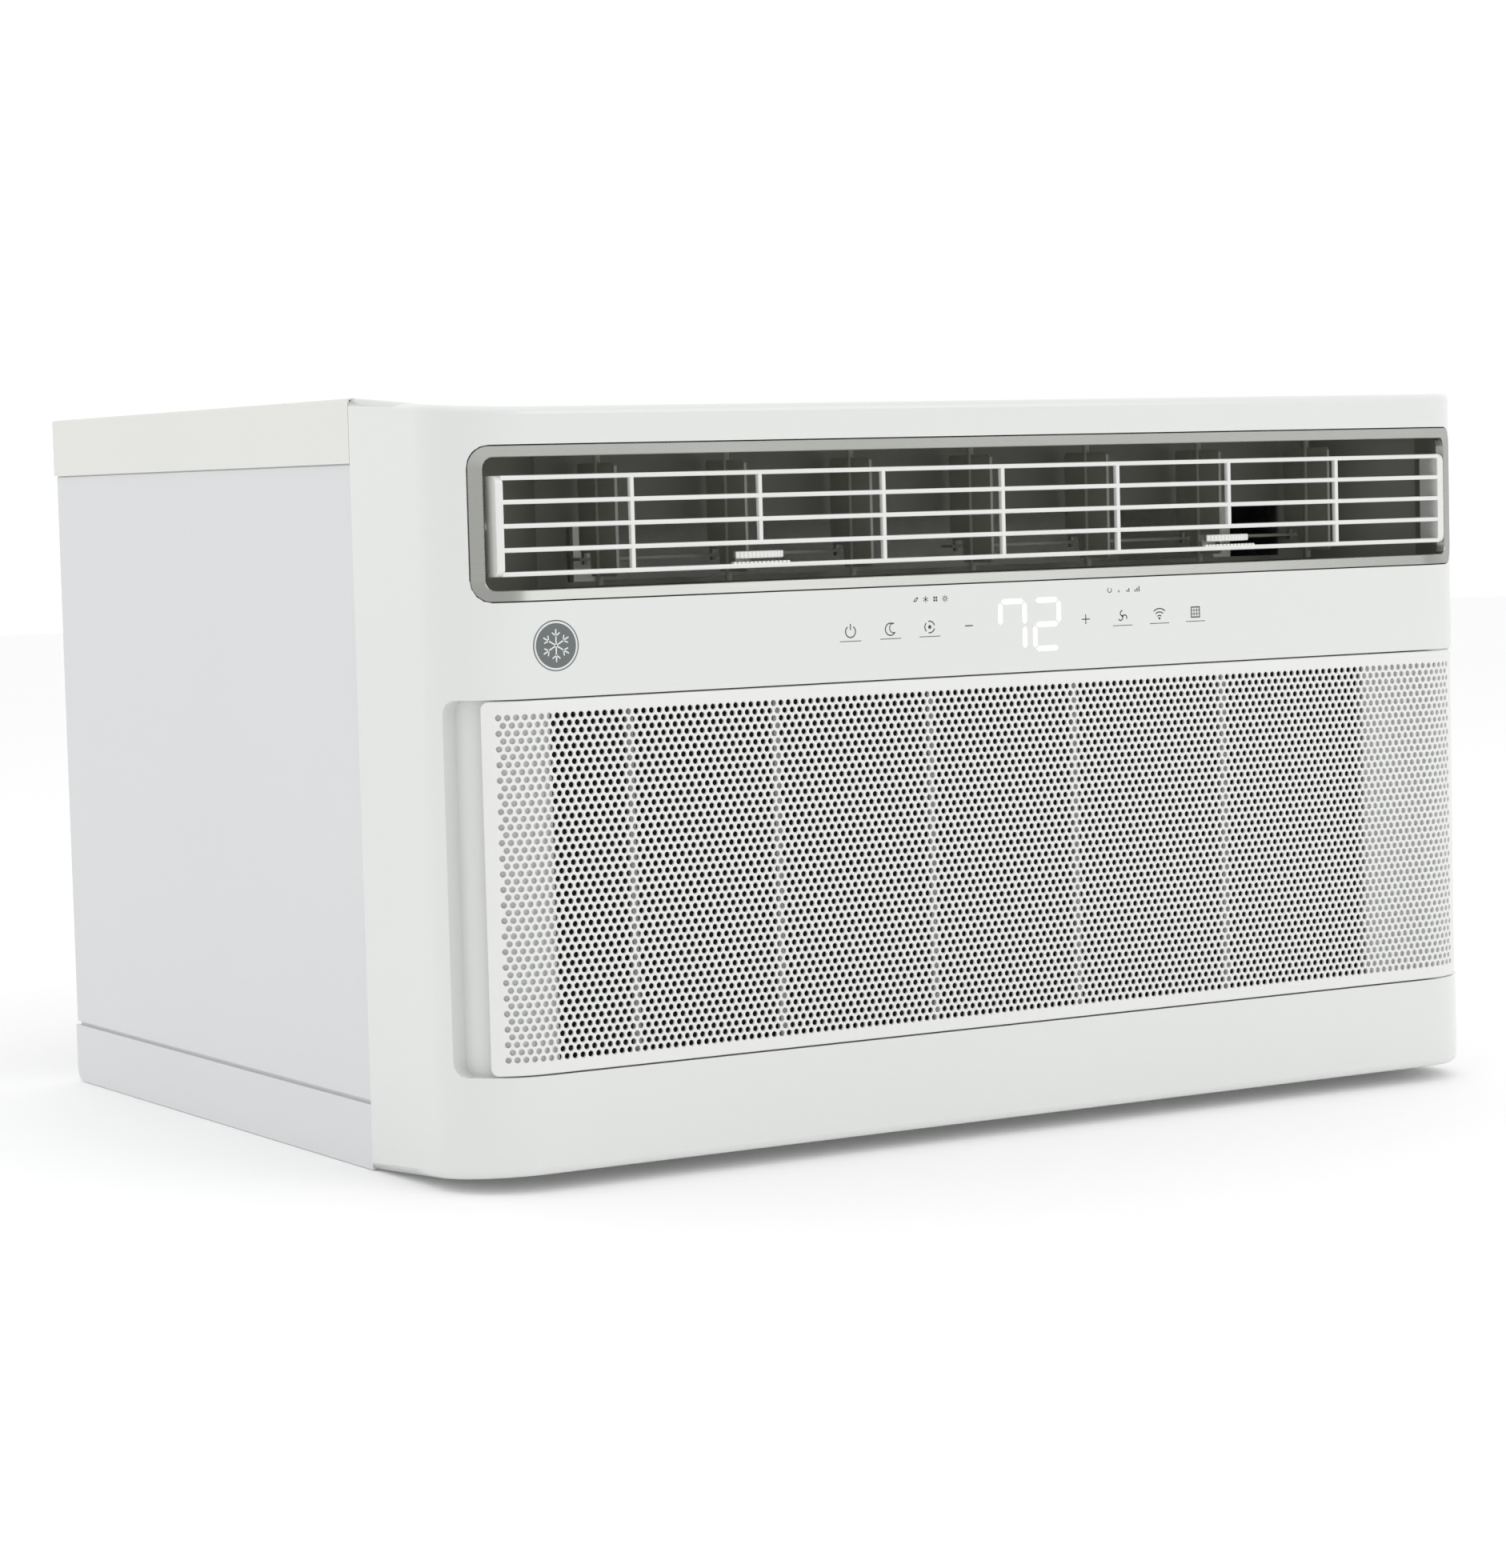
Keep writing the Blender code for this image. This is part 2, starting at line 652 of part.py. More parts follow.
def duct_outline(inset, depth):
    """Plan of the outlet duct: its mouth follows the ring and it narrows towards the blower."""
    steps = 8
    wide = DUCT_HALF - inset
    radius = CORNER_R - depth
    reach = math.asin((wide - STRAIGHT_HALF) / radius)
    sides = []
    for side, back_x in ((1, 0.2680 - inset), (-1, -0.2400 + inset)):
        half = []
        for step in range(steps + 1):
            angle = reach * step / steps
            across = STRAIGHT_HALF + radius * math.sin(angle)
            half.append((side * across, Y_FRONT + CORNER_R - radius * math.cos(angle)))
        half += [(side * wide, Y_JOINT - 0.0880), (back_x, Y_JOINT - 0.0310 - inset)]
        sides.append(half)
    return sides[0] + sides[1][::-1]


def make_duct():
    """Dark outlet duct, open at its mouth and, low at its back, to the blower."""
    duct = prism("discharge_duct", duct_outline(0.0, 0.0064), DUCT_Z[0], DUCT_Z[1], DARK_PLASTIC)
    hollow = prism("duct_room", duct_outline(DUCT_WALL, -0.004), DUCT_Z[0] + DUCT_WALL, DUCT_Z[1] - DUCT_WALL)
    combine(duct, hollow)
    combine(duct, box("duct_back", (-0.2200, Y_JOINT - 0.045, 0.3030), (0.2480, Y_JOINT - 0.02, 0.3330)))
    for side in (-1, 1):
        hole_x = side * 0.3080
        combine(duct, rod(f"pivot_hole_{side}", (hole_x, *LOUVRE_PIVOT), 0.0031, 0.02, 0, segments=16))
    return duct


# --- Air handling and electrics ---------------------------------------------------------------------------


def make_evaporator():
    """Indoor coil: a block of fins between end plates, with the return bends at each end."""
    low = (-0.2840, Y_JOINT - 0.0880, 0.0380)
    high = (0.2840, Y_JOINT - 0.0470, 0.2900)
    coil = box("evaporator_coil", low, high, FINS)
    grooves = []
    for groove in range(22):
        x = low[0] + 0.0125 + groove * 0.0250
        grooves.append(((x, low[1] - 0.01, low[2] + 0.004), (x + 0.0180, low[1] + 0.030, high[2] - 0.004)))
    combine(coil, boxes("evaporator_grooves", grooves))
    bend_r = 0.0125
    for side in (-1, 1):
        end = side * 0.2845
        for row in range(4):
            middle = 0.0685 + row * 0.0640
            turns = [math.pi * step / 6 - math.pi / 2 for step in range(7)]
            path = []
            for turn in turns:
                out = end + side * bend_r * math.cos(turn)
                path.append((out, Y_JOINT - 0.0675, middle + bend_r * math.sin(turn)))
            path = [(side * 0.2830, *path[0][1:]), *path, (side * 0.2830, *path[-1][1:])]
            combine(coil, tube_mesh(f"evaporator_bend_{side}_{row}", path, 0.0040), "UNION")
    return coil


def tube_mesh(name, path, radius):
    """A tube made a mesh, for joining to another piece."""
    drawn = tube(name, path, radius, COPPER)
    bpy.context.view_layer.update()
    shape = bpy.data.meshes.new_from_object(drawn.evaluated_get(bpy.context.evaluated_depsgraph_get()))
    bpy.data.objects.remove(drawn)
    bm = bmesh.new()
    bm.from_mesh(shape)
    bmesh.ops.remove_doubles(bm, verts=bm.verts, dist=0.00001)
    return place(name, bm)


def make_condenser():
    """Outdoor coil, across the back of the case."""
    low = (-0.3050, Y_JOINT + 0.3300, 0.0085)
    high = (0.3050, Y_JOINT + 0.3720, 0.3880)
    coil = box("condenser_coil", low, high, FINS)
    grooves = []
    for groove in range(24):
        x = low[0] + 0.0085 + groove * 0.0250
        grooves.append(((x, high[1] - 0.032, low[2] + 0.004), (x + 0.0180, high[1] + 0.01, high[2] - 0.004)))
    return combine(coil, boxes("condenser_grooves", grooves))


def make_drain_pan():
    """Tray under the indoor coil."""
    low = (-0.2990, Y_JOINT - 0.0930, 0.0125)
    pan = box("drain_pan", low, (0.2990, Y_JOINT - 0.0340, 0.0360), WHITE_PLASTIC)
    room_low = (-0.2970, Y_JOINT - 0.0910, 0.0145)
    return combine(pan, box("pan_room", room_low, (0.2970, Y_JOINT - 0.0360, 0.05)))


def make_heater():
    """Sheathed heating rod, folded back and forth behind the indoor coil."""
    passes = 5
    half = 0.130
    path = []
    for number in range(passes):
        height = 0.090 + number * 0.032
        ends = (-half, half) if number % 2 == 0 else (half, -half)
        path += [(ends[0], Y_JOINT - 0.0395, height), (ends[1], Y_JOINT - 0.0395, height)]
    return tube("heater_element", path, 0.0030, HEATER_STEEL)


def make_blower_housing():
    """Foam scroll round the blower, with a wide throat at its top that feeds the outlet duct."""
    front = Y_JOINT - 0.0305
    back = Y_JOINT + 0.0700
    block = box("blower_housing", (-0.2150, front, 0.0400), (0.2150, back, 0.3900), FOAM)
    inner_front = front + 0.010
    inner_back = back - 0.008
    middle = (inner_front + inner_back) / 2
    combine(block, rod("scroll", (0, middle, AXLE_Z), 0.118, inner_back - inner_front, 1, segments=48))
    combine(block, box("throat", (-0.118, inner_front, AXLE_Z), (0.040, inner_back, 0.3100)))
    combine(block, box("plenum", (-0.2030, inner_front, 0.2990), (0.2030, inner_back, 0.3780)))
    mouth_low = (-0.2030, front - 0.01, 0.3030)
    combine(block, box("plenum_mouth", mouth_low, (0.2030, inner_front + 0.005, 0.3330)))
    combine(block, rod("inlet", (0, front, AXLE_Z), 0.088, 0.04, 1, segments=40))
    return combine(block, rod("shaft_way", (0, back, AXLE_Z), 0.014, 0.04, 1, segments=20))


def make_blower_wheel():
    """Squirrel-cage wheel: a back plate with a hub, and a rim of upright blades."""
    length = 0.066
    middle_y = Y_JOINT + 0.0210
    wall = [
        (WHEEL_R, length / 2),
        (WHEEL_R, -length / 2),
        (0.0054, -length / 2),
        (0.0054, -length / 2 + 0.014),
        (0.014, -length / 2 + 0.014),
        (0.016, -length / 2 + 0.0030),
        (0.084, -length / 2 + 0.0030),
        (0.084, length / 2),
    ]
    wheel = turned("blower_wheel", wall, DARK_PLASTIC, (0, middle_y, AXLE_Z), axis=1, steps=48, closed=True)
    slots = 24
    bm = bmesh.new()
    for slot in range(slots):
        turn = Matrix.Rotation(2 * math.pi * (slot + 0.5) / slots, 4, "Y")
        verts = add_box(bm, (0.078, -length / 2 + 0.006, -0.0068), (0.110, length / 2 - 0.006, 0.0090))
        bmesh.ops.transform(bm, matrix=turn, verts=verts)
    cut = place("blade_slots", bm, None, (0, middle_y, AXLE_Z))
    return combine(wheel, cut)


def make_motor():
    """Fan motor with a shaft out of each end; the shell has a bore that the shaft turns in."""
    length = 0.100
    half = length / 2
    bore = SHAFT_R + 0.0006
    shell = [
        (bore, half),
        (0.018, half),
        (0.018, half - 0.010),
        (0.046, half - 0.014),
        (0.060, half - 0.024),
        (0.060, -half + 0.024),
        (0.046, -half + 0.014),
        (0.018, -half + 0.010),
        (0.018, -half),
        (bore, -half),
    ]
    return turned("fan_motor", shell, GALVANISED, (0, MOTOR_Y, AXLE_Z), axis=1, steps=36, closed=True)


def make_motor_bracket():
    """Steel cradle that holds the motor up from the pan."""
    y = MOTOR_Y
    cradle = box("motor_bracket", (-0.052, y - 0.0020, 0.0020), (0.052, y + 0.0020, 0.1500), GALVANISED)
    combine(cradle, box("bracket_foot", (-0.052, y - 0.022, 0.0018), (0.052, y + 0.022, 0.0040)), "UNION")
    return combine(cradle, rod("motor_seat", (0, y, AXLE_Z), 0.0604, 0.1, 1, segments=36))


def make_condenser_fan():
    """Outdoor fan: hub, five pitched blades and the slinger ring that lifts drain water onto the coil."""
    middle_y = Y_JOINT + 0.2860
    hub = [(0.0054, 0.014), (0.034, 0.014), (0.034, -0.014), (0.0054, -0.014)]
    fan = turned("condenser_fan", hub, BLACK_PAINT, (0, middle_y, AXLE_Z), axis=1, steps=30, closed=True)
    blades = 5
    bm = bmesh.new()
    for blade in range(blades):
        verts = add_box(bm, (0.0320, -0.0012, -0.034), (FAN_R + 0.001, 0.0012, 0.034))
        pitch = Matrix.Rotation(math.radians(22), 4, "X")
        around = Matrix.Rotation(2 * math.pi * blade / blades, 4, "Y")
        bmesh.ops.transform(bm, matrix=around @ pitch, verts=verts)
    combine(fan, place("fan_blades", bm, None, (0, middle_y, AXLE_Z)), "UNION")
    ring = [(FAN_R + 0.006, 0.010), (FAN_R + 0.006, -0.010), (FAN_R - 0.001, -0.010), (FAN_R - 0.001, 0.010)]
    hoop = turned("slinger_ring", ring, None, (0, middle_y, AXLE_Z), axis=1, steps=48, closed=True)
    return combine(fan, hoop, "UNION")


def make_shroud():
    """Plate and box that lead the outdoor fan's air through the outdoor coil."""
    front = Y_JOINT + 0.2900
    shroud = box("fan_shroud", (-0.3050, front, 0.0060), (0.3050, Y_JOINT + 0.3290, 0.3900), GALVANISED)
    combine(shroud, box("shroud_room", (-0.3036, front + 0.0014, 0.0074), (0.3036, Y_JOINT + 0.35, 0.3886)))
    return combine(shroud, rod("fan_hole", (0, front, AXLE_Z), FAN_R + 0.011, 0.02, 1, segments=48))


def make_bulkhead():
    """Steel wall between the indoor and the outdoor side, holed for the shaft and the tubes."""
    y = Y_JOINT + 0.0720
    wall = box("bulkhead", (-0.3220, y, 0.0020), (0.3220, y + 0.0014, 0.3960), GALVANISED)
    combine(wall, rod("bulkhead_shaft", (0, y, AXLE_Z), 0.016, 0.02, 1))
    for name, x, z in TUBE_HOLES:
        combine(wall, rod(f"hole_{name}", (x, y, z), 0.0090, 0.02, 1, segments=16))
    return wall


# --- Refrigeration ----------------------------------------------------------------------------------------

COMPRESSOR_X = 0.225
COMPRESSOR_Y = Y_JOINT + 0.172
COMPRESSOR_TOP = 0.238
TUBE_HOLES = [("suction", 0.3000, 0.2700), ("liquid", 0.3000, 0.0900)]


def make_compressor():
    """Rotary compressor: a welded shell on a three-cornered foot plate."""
    shell = [
        (0.0, COMPRESSOR_TOP),
        (0.030, COMPRESSOR_TOP - 0.003),
        (0.052, COMPRESSOR_TOP - 0.014),
        (0.062, COMPRESSOR_TOP - 0.032),
        (0.064, COMPRESSOR_TOP - 0.045),
        (0.064, 0.060),
        (0.058, 0.036),
        (0.040, 0.026),
        (0.0, 0.024),
    ]
    body = turned("compressor", shell, BLACK_PAINT, (COMPRESSOR_X, COMPRESSOR_Y, 0), steps=36)
    outline = []
    for foot in range(3):
        around = math.radians(90 + 120 * foot)
        for offset in (-14, 14):
            angle = around + math.radians(offset)
            outline.append((COMPRESSOR_X + 0.088 * math.cos(angle), COMPRESSOR_Y + 0.088 * math.sin(angle)))
    plate = prism("compressor_plate", outline, 0.0225, 0.0265)
    combine(body, plate, "UNION")
    for foot in range(3):
        combine(body, rod(f"foot_hole_{foot}", (*foot_place(foot), 0.025), 0.0075, 0.02, 2, segments=16))
    return body


def foot_place(foot):
    around = math.radians(90 + 120 * foot)
    return COMPRESSOR_X + 0.074 * math.cos(around), COMPRESSOR_Y + 0.074 * math.sin(around)


def make_foot(foot):
    """Rubber grommet under one corner of the foot plate, and the stud that holds it to the pan."""
    x, y = foot_place(foot)
    rubber = [(0.0125, 0.0222), (0.0125, 0.0022), (0.0042, 0.0022), (0.0042, 0.0222)]
    turned(f"compressor_grommet_{foot + 1}", rubber, RUBBER, (x, y, 0), steps=20, closed=True)
    stud = [(0.0, 0.0340), (0.0062, 0.0340), (0.0062, 0.0270)]
    stud += [(0.0036, 0.0270), (0.0036, 0.0018), (0.0, 0.0018)]
    turned(f"compressor_stud_{foot + 1}", stud, GALVANISED, (x, y, 0), steps=12)


def make_accumulator():
    """Upright suction can beside the compressor."""
    can = [(0.0, 0.190), (0.010, 0.189), (0.022, 0.176), (0.022, 0.084), (0.010, 0.071), (0.0, 0.070)]
    return turned("accumulator", can, BLACK_PAINT, (0.118, Y_JOINT + 0.128, 0), steps=24)


def make_tubes():
    """Copper runs between the coils, the can and the compressor."""
    suction = [
        (0.2962, Y_JOINT - 0.0675, 0.2850),
        (0.3000, Y_JOINT - 0.0450, 0.2850),
        (0.3000, Y_JOINT + 0.0000, 0.2700),
        (0.3000, Y_JOINT + 0.0800, 0.2700),
        (0.2600, Y_JOINT + 0.1000, 0.2720),
        (0.1500, Y_JOINT + 0.1100, 0.2700),
        (0.1180, Y_JOINT + 0.1250, 0.2450),
        (0.1180, Y_JOINT + 0.1280, 0.1905),
    ]
    tube("suction_tube", smooth_path(suction, 5), 0.0050, COPPER)
    inlet = [
        (0.1180, Y_JOINT + 0.1280, 0.0696),
        (0.1190, Y_JOINT + 0.1290, 0.0560),
        (0.1300, Y_JOINT + 0.1380, 0.0480),
        (0.1440, Y_JOINT + 0.1490, 0.0560),
        (0.1590, Y_JOINT + 0.1560, 0.0700),
    ]
    tube("accumulator_tube", smooth_path(inlet, 4), 0.0045, COPPER)
    discharge = [
        (COMPRESSOR_X, COMPRESSOR_Y, COMPRESSOR_TOP + 0.0004),
        (COMPRESSOR_X, COMPRESSOR_Y, 0.2900),
        (COMPRESSOR_X + 0.020, COMPRESSOR_Y + 0.020, 0.3250),
        (0.2900, Y_JOINT + 0.2500, 0.3300),
        (0.3150, Y_JOINT + 0.2900, 0.3400),
        (0.3160, Y_JOINT + 0.3400, 0.3500),
        (0.3130, Y_JOINT + 0.3510, 0.3500),
        (0.3054, Y_JOINT + 0.3510, 0.3500),
    ]
    tube("discharge_tube", smooth_path(discharge, 5), 0.0040, COPPER)
    turns = 3
    steps = 10
    coil_x = 0.2800
    coil_y = Y_JOINT + 0.2660
    capillary = [
        Vector((0.3056, Y_JOINT + 0.3500, 0.0320)),
        Vector((0.3130, Y_JOINT + 0.3500, 0.0320)),
        Vector((0.3150, Y_JOINT + 0.3300, 0.0360)),
        Vector((0.3130, Y_JOINT + 0.2900, 0.0450)),
        Vector((0.3020, Y_JOINT + 0.2740, 0.0560)),
    ]
    for step in range(turns * steps + 1):
        angle = 2 * math.pi * step / steps
        height = 0.0650 + 0.0070 * step / steps
        capillary.append(Vector((coil_x + 0.018 * math.cos(angle), coil_y + 0.018 * math.sin(angle), height)))
    capillary += smooth_path(
        [
            (0.3000, Y_JOINT + 0.2560, 0.0940),
            (0.3080, Y_JOINT + 0.2300, 0.0920),
            (0.3080, Y_JOINT + 0.1200, 0.0900),
            (0.3000, Y_JOINT + 0.0730, 0.0900),
            (0.3000, Y_JOINT + 0.0100, 0.0900),
            (0.3030, Y_JOINT - 0.0500, 0.0880),
            (0.3020, Y_JOINT - 0.0660, 0.0900),
        ],
        4,
    )
    tube("capillary_tube", capillary, 0.0015, COPPER)


# --- Electrics --------------------------------------------------------------------------------------------


def make_electrics():
    """Display behind the front wall, and the control box with its power board and run capacitor."""
    wall_back = Y_FRONT + FRONT_WALL
    display_low = (-0.0120, wall_back + 0.0004, 0.2560)
    box("digit_display", display_low, (0.0370, wall_back + 0.0030, 0.2910), DARK_PLASTIC)
    box("touch_board", (-0.1150, wall_back + 0.0034, 0.2550), (0.1370, wall_back + 0.0050, 0.2940), BOARD)
    low = (-0.3180, Y_JOINT + 0.0040, 0.0600)
    high = (-0.2230, Y_JOINT + 0.0680, 0.2600)
    tray = box("control_box", low, high, GALVANISED)
    wall = 0.0012
    room = [value - wall for value in high]
    combine(tray, box("box_room", (low[0] + wall, low[1] - 0.01, low[2] + wall), room))
    combine(tray, rod("cord_inlet", (-0.2700, Y_JOINT + 0.030, 0.0600), 0.0080, 0.02, 2, segments=16))
    cover_front = Y_JOINT + 0.0040 - GAP
    cover_low = (low[0], cover_front - 0.0012, low[2])
    box("control_box_cover", cover_low, (high[0], cover_front, high[2]), GALVANISED)
    box("power_board", (-0.3120, Y_JOINT + 0.0560, 0.1500), (-0.2300, Y_JOINT + 0.0576, 0.2500), BOARD)
    can = [(0.0, 0.128), (0.0180, 0.128), (0.0195, 0.126), (0.0195, 0.064), (0.0180, 0.0625), (0.0, 0.0625)]
    turned("run_capacitor", can, GALVANISED, (-0.2950, Y_JOINT + 0.034, 0), steps=24)


def hang(name, axis_point, pieces, parent=None):
    """Parent pieces, where they are, to an empty on their joint's axis."""
    axis = bpy.data.objects.new(name, None)
    axis.location = axis_point
    unit.objects.link(axis)
    bpy.context.view_layer.update()
    for piece in pieces:
        piece.parent = axis
        piece.matrix_parent_inverse = axis.matrix_world.inverted()
    if parent:
        axis.parent = parent
        axis.matrix_parent_inverse = parent.matrix_world.inverted()
    return axis


make_base_pan()
make_side("case_left_side", -1)
make_side("case_right_side", 1)
make_lid()
make_rear_grille()
make_front_frame()
make_bezel()
hang("grille_axis", (0, *GRILLE_PIVOT), [make_intake_grille(), *make_filter()])
louvre_axis = hang("louvre_axis", (0, *LOUVRE_PIVOT), [make_louvre()])
for lever_name, lever_x in (("left_vane_lever", -LEVER_X), ("right_vane_lever", LEVER_X)):
    lever = make_lever(lever_name, lever_x)
    hang(f"{lever_name}_axis", (lever_x, LEVER_Y, LEVER_Z[0]), [lever], louvre_axis)
for vane_number in range(VANE_COUNT):
    vane = make_vane(vane_number)
    hang(f"vane_{vane_number + 1}_axis", (vane_x(vane_number), VANE_Y, VANE_Z[0]), [vane])
make_link("left_link_bar", range(LEFT_VANES))
make_link("right_link_bar", range(LEFT_VANES, VANE_COUNT))
make_duct()
make_evaporator()
make_condenser()
make_drain_pan()
make_heater()
make_blower_housing()
make_motor()
make_motor_bracket()
motor_shaft = rod("motor_shaft", (0, MOTOR_Y, AXLE_Z), SHAFT_R, 0.310, 1, GALVANISED, segments=20)
hang("drive_axis", (0, MOTOR_Y, AXLE_Z), [motor_shaft, make_blower_wheel(), make_condenser_fan()])
make_shroud()
make_bulkhead()
make_compressor()
for foot_number in range(3):
    make_foot(foot_number)
make_accumulator()
make_tubes()
make_electrics()
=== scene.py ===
"""Room air conditioner in its steel wall case, dressed for its studio view. Metres, front towards -Y."""

import math

import bmesh
import bpy
from mathutils import Matrix, Vector


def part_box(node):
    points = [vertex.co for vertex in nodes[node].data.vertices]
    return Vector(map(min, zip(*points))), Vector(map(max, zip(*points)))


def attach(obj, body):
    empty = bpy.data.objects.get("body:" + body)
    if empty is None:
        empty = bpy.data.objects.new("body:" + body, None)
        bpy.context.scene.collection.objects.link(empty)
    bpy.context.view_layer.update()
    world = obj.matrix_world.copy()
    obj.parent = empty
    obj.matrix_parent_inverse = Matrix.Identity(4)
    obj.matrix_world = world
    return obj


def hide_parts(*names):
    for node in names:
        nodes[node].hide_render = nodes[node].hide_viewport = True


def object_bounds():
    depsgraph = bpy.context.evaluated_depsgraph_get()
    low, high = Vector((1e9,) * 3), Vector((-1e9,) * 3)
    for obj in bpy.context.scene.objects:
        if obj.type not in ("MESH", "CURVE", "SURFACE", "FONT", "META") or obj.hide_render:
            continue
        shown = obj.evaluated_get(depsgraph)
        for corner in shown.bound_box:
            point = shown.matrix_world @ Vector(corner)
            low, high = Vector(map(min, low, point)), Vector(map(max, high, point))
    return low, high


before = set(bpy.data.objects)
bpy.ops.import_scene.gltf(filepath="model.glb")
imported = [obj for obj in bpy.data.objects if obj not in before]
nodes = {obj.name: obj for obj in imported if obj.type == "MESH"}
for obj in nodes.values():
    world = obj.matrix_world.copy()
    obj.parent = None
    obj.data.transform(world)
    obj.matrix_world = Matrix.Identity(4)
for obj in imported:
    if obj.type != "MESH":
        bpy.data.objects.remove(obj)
cad_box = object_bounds()

# --- Studio -----------------------------------------------------------------------------------------------
# A pale seamless floor, with a slight glow, before a lit white backdrop, a dimmer room in front, a wide
# overhead softbox and a key light at the right. The camera stands low at the unit's front left corner.

bpy.context.scene.view_settings.view_transform = "Standard"


def linear(code):
    """An sRGB hex colour as linear red, green, blue and alpha."""
    shares = [int(code[start : start + 2], 16) / 255 for start in (1, 3, 5)]
    levels = [share / 12.92 if share <= 0.04045 else ((share + 0.055) / 1.055) ** 2.4 for share in shares]
    return (*levels, 1.0)


def add_node(tree, kind, inputs=None, **settings):
    """A node with its settings, and its inputs either set or linked."""
    node = tree.nodes.new(kind)
    for setting, value in settings.items():
        setattr(node, setting, value)
    for socket, value in (inputs or {}).items():
        if isinstance(value, bpy.types.NodeSocket):
            tree.links.new(value, node.inputs[socket])
        else:
            node.inputs[socket].default_value = value
    return node


def make_surface(name, tone, shade, mottle_mm, roughness, grain_mm, relief_mm, stretch=(1, 1, 1), **sockets):
    """A material that drifts between two close tones, with the fine relief of its own grain."""
    made = bpy.data.materials.new(name)
    made.use_nodes = True
    tree = made.node_tree
    shader = tree.nodes["Principled BSDF"]
    for socket, value in sockets.items():
        shader.inputs[socket.replace("_", " ")].default_value = value
    place = add_node(tree, "ShaderNodeTexCoord").outputs["Object"]
    drift = add_node(tree, "ShaderNodeTexNoise", {"Vector": place, "Scale": 1000 / mottle_mm, "Detail": 4.0})
    colour = add_node(
        tree, "ShaderNodeMix", {0: drift.outputs[0], 6: linear(shade), 7: linear(tone)}, data_type="RGBA"
    )
    tree.links.new(colour.outputs[2], shader.inputs["Base Color"])
    run = add_node(tree, "ShaderNodeMapping", {"Vector": place, "Scale": stretch})
    grain = add_node(
        tree, "ShaderNodeTexNoise", {"Vector": run.outputs[0], "Scale": 1000 / grain_mm, "Detail": 2.0}
    )
    limits = {"To Min": roughness - 0.05, "To Max": roughness + 0.05}
    gloss = add_node(tree, "ShaderNodeMapRange", {"Value": grain.outputs[0], **limits})
    tree.links.new(gloss.outputs[0], shader.inputs["Roughness"])
    relief = add_node(tree, "ShaderNodeBump", {"Height": grain.outputs[0], "Distance": relief_mm / 1000})
    tree.links.new(relief.outputs[0], shader.inputs["Normal"])
    return made


def new_piece(name, bm, material):
    """An object at the origin, made from a mesh in progress."""
    mesh = bpy.data.meshes.new(name)
    bm.to_mesh(mesh)
    bm.free()
    piece = bpy.data.objects.new(name, mesh)
    mesh.materials.append(material)
    bpy.context.scene.collection.objects.link(piece)
    return piece


CAMERA_SPOT = (-1.21221, -2.04337, 0.34944)
CAMERA_HEADING = -0.5346527
CAMERA_DIP = 0.0732952
CAMERA_ROLL = -0.0259462
LENS_MM = 92.4336735
camera = bpy.data.objects.new("camera", bpy.data.cameras.new("camera"))
camera.data.sensor_width = 36.0
camera.data.lens = LENS_MM
camera.matrix_world = (
    Matrix.Translation(CAMERA_SPOT)
    @ Matrix.Rotation(CAMERA_HEADING, 4, "Z")
    @ Matrix.Rotation(math.pi / 2 - CAMERA_DIP, 4, "X")
    @ Matrix.Rotation(CAMERA_ROLL, 4, "Z")
)
bpy.context.scene.collection.objects.link(camera)
bpy.context.scene.camera = camera

world = bpy.data.worlds.new("studio_fill")
world.use_nodes = True
backdrop = world.node_tree
backdrop.nodes["Background"].inputs["Color"].default_value = linear("#FFFFFF")
heading = add_node(backdrop, "ShaderNodeTexCoord").outputs["Generated"]
heading = add_node(backdrop, "ShaderNodeSeparateXYZ", {0: heading}).outputs["Y"]
limits = {"From Min": -0.5, "From Max": 0.8, "To Min": 0.80, "To Max": 1.12}
glow = add_node(backdrop, "ShaderNodeMapRange", {"Value": heading, **limits})
backdrop.links.new(glow.outputs[0], backdrop.nodes["Background"].inputs["Strength"])
bpy.context.scene.world = world

for light_name, spot, width, watts in (
    ("overhead_softbox", (-0.3, -0.4, 2.6), 2.4, 8.0),
    ("front_softbox", (1.1, -2.5, 1.9), 1.8, 13.0),
):
    light = bpy.data.objects.new(light_name, bpy.data.lights.new(light_name, "AREA"))
    light.data.size = width
    light.data.energy = watts
    light.location = spot
    light.rotation_euler = (Vector(spot) - Vector((0, 0, 0.2))).to_track_quat("Z", "Y").to_euler()
    bpy.context.scene.collection.objects.link(light)

FLOOR_R = 9.0
just_below = Matrix.Translation((0, 0, -0.0004))
bm = bmesh.new()
bmesh.ops.create_circle(bm, cap_ends=True, segments=64, radius=FLOOR_R, matrix=just_below)
seamless_paper = make_surface(
    "matte_studio_floor", "#FCFCFC", "#FAFAFA", 800, 0.75, 4, 0.02, Emission_Strength=0.05
)
floor = new_piece("floor", bm, seamless_paper)

# --- Steel wall case --------------------------------------------------------------------------------------
# Folded sheet steel, 1 mm thick, with a baked powder coat. The two sides and the pan share a cool white and
# the lid a warmer one. The coat flattens the light and shows a faint orange peel about 1.5 mm across.


def dress(material, *names):
    """Give CAD nodes a material."""
    for name in names:
        for material_slot in nodes[name].material_slots:
            material_slot.material = material


cool_coat = make_surface("powder_coated_steel_cool_white", "#DBDDDE", "#D7D9DA", 260, 0.42, 1.5, 0.006)
warm_coat = make_surface("powder_coated_steel_warm_white", "#E4E5E0", "#E0E1DB", 260, 0.42, 1.5, 0.006)
dress(cool_coat, "case_left_side", "case_right_side", "base_pan")
dress(warm_coat, "case_top_cover")

# --- Moulded front ----------------------------------------------------------------------------------------
# One injection moulding in high-gloss ABS: round corners, a recess for the intake panel and the outlet
# opening. A smoothed copy stands for the CAD shape, so that the polished corners reflect without facets.


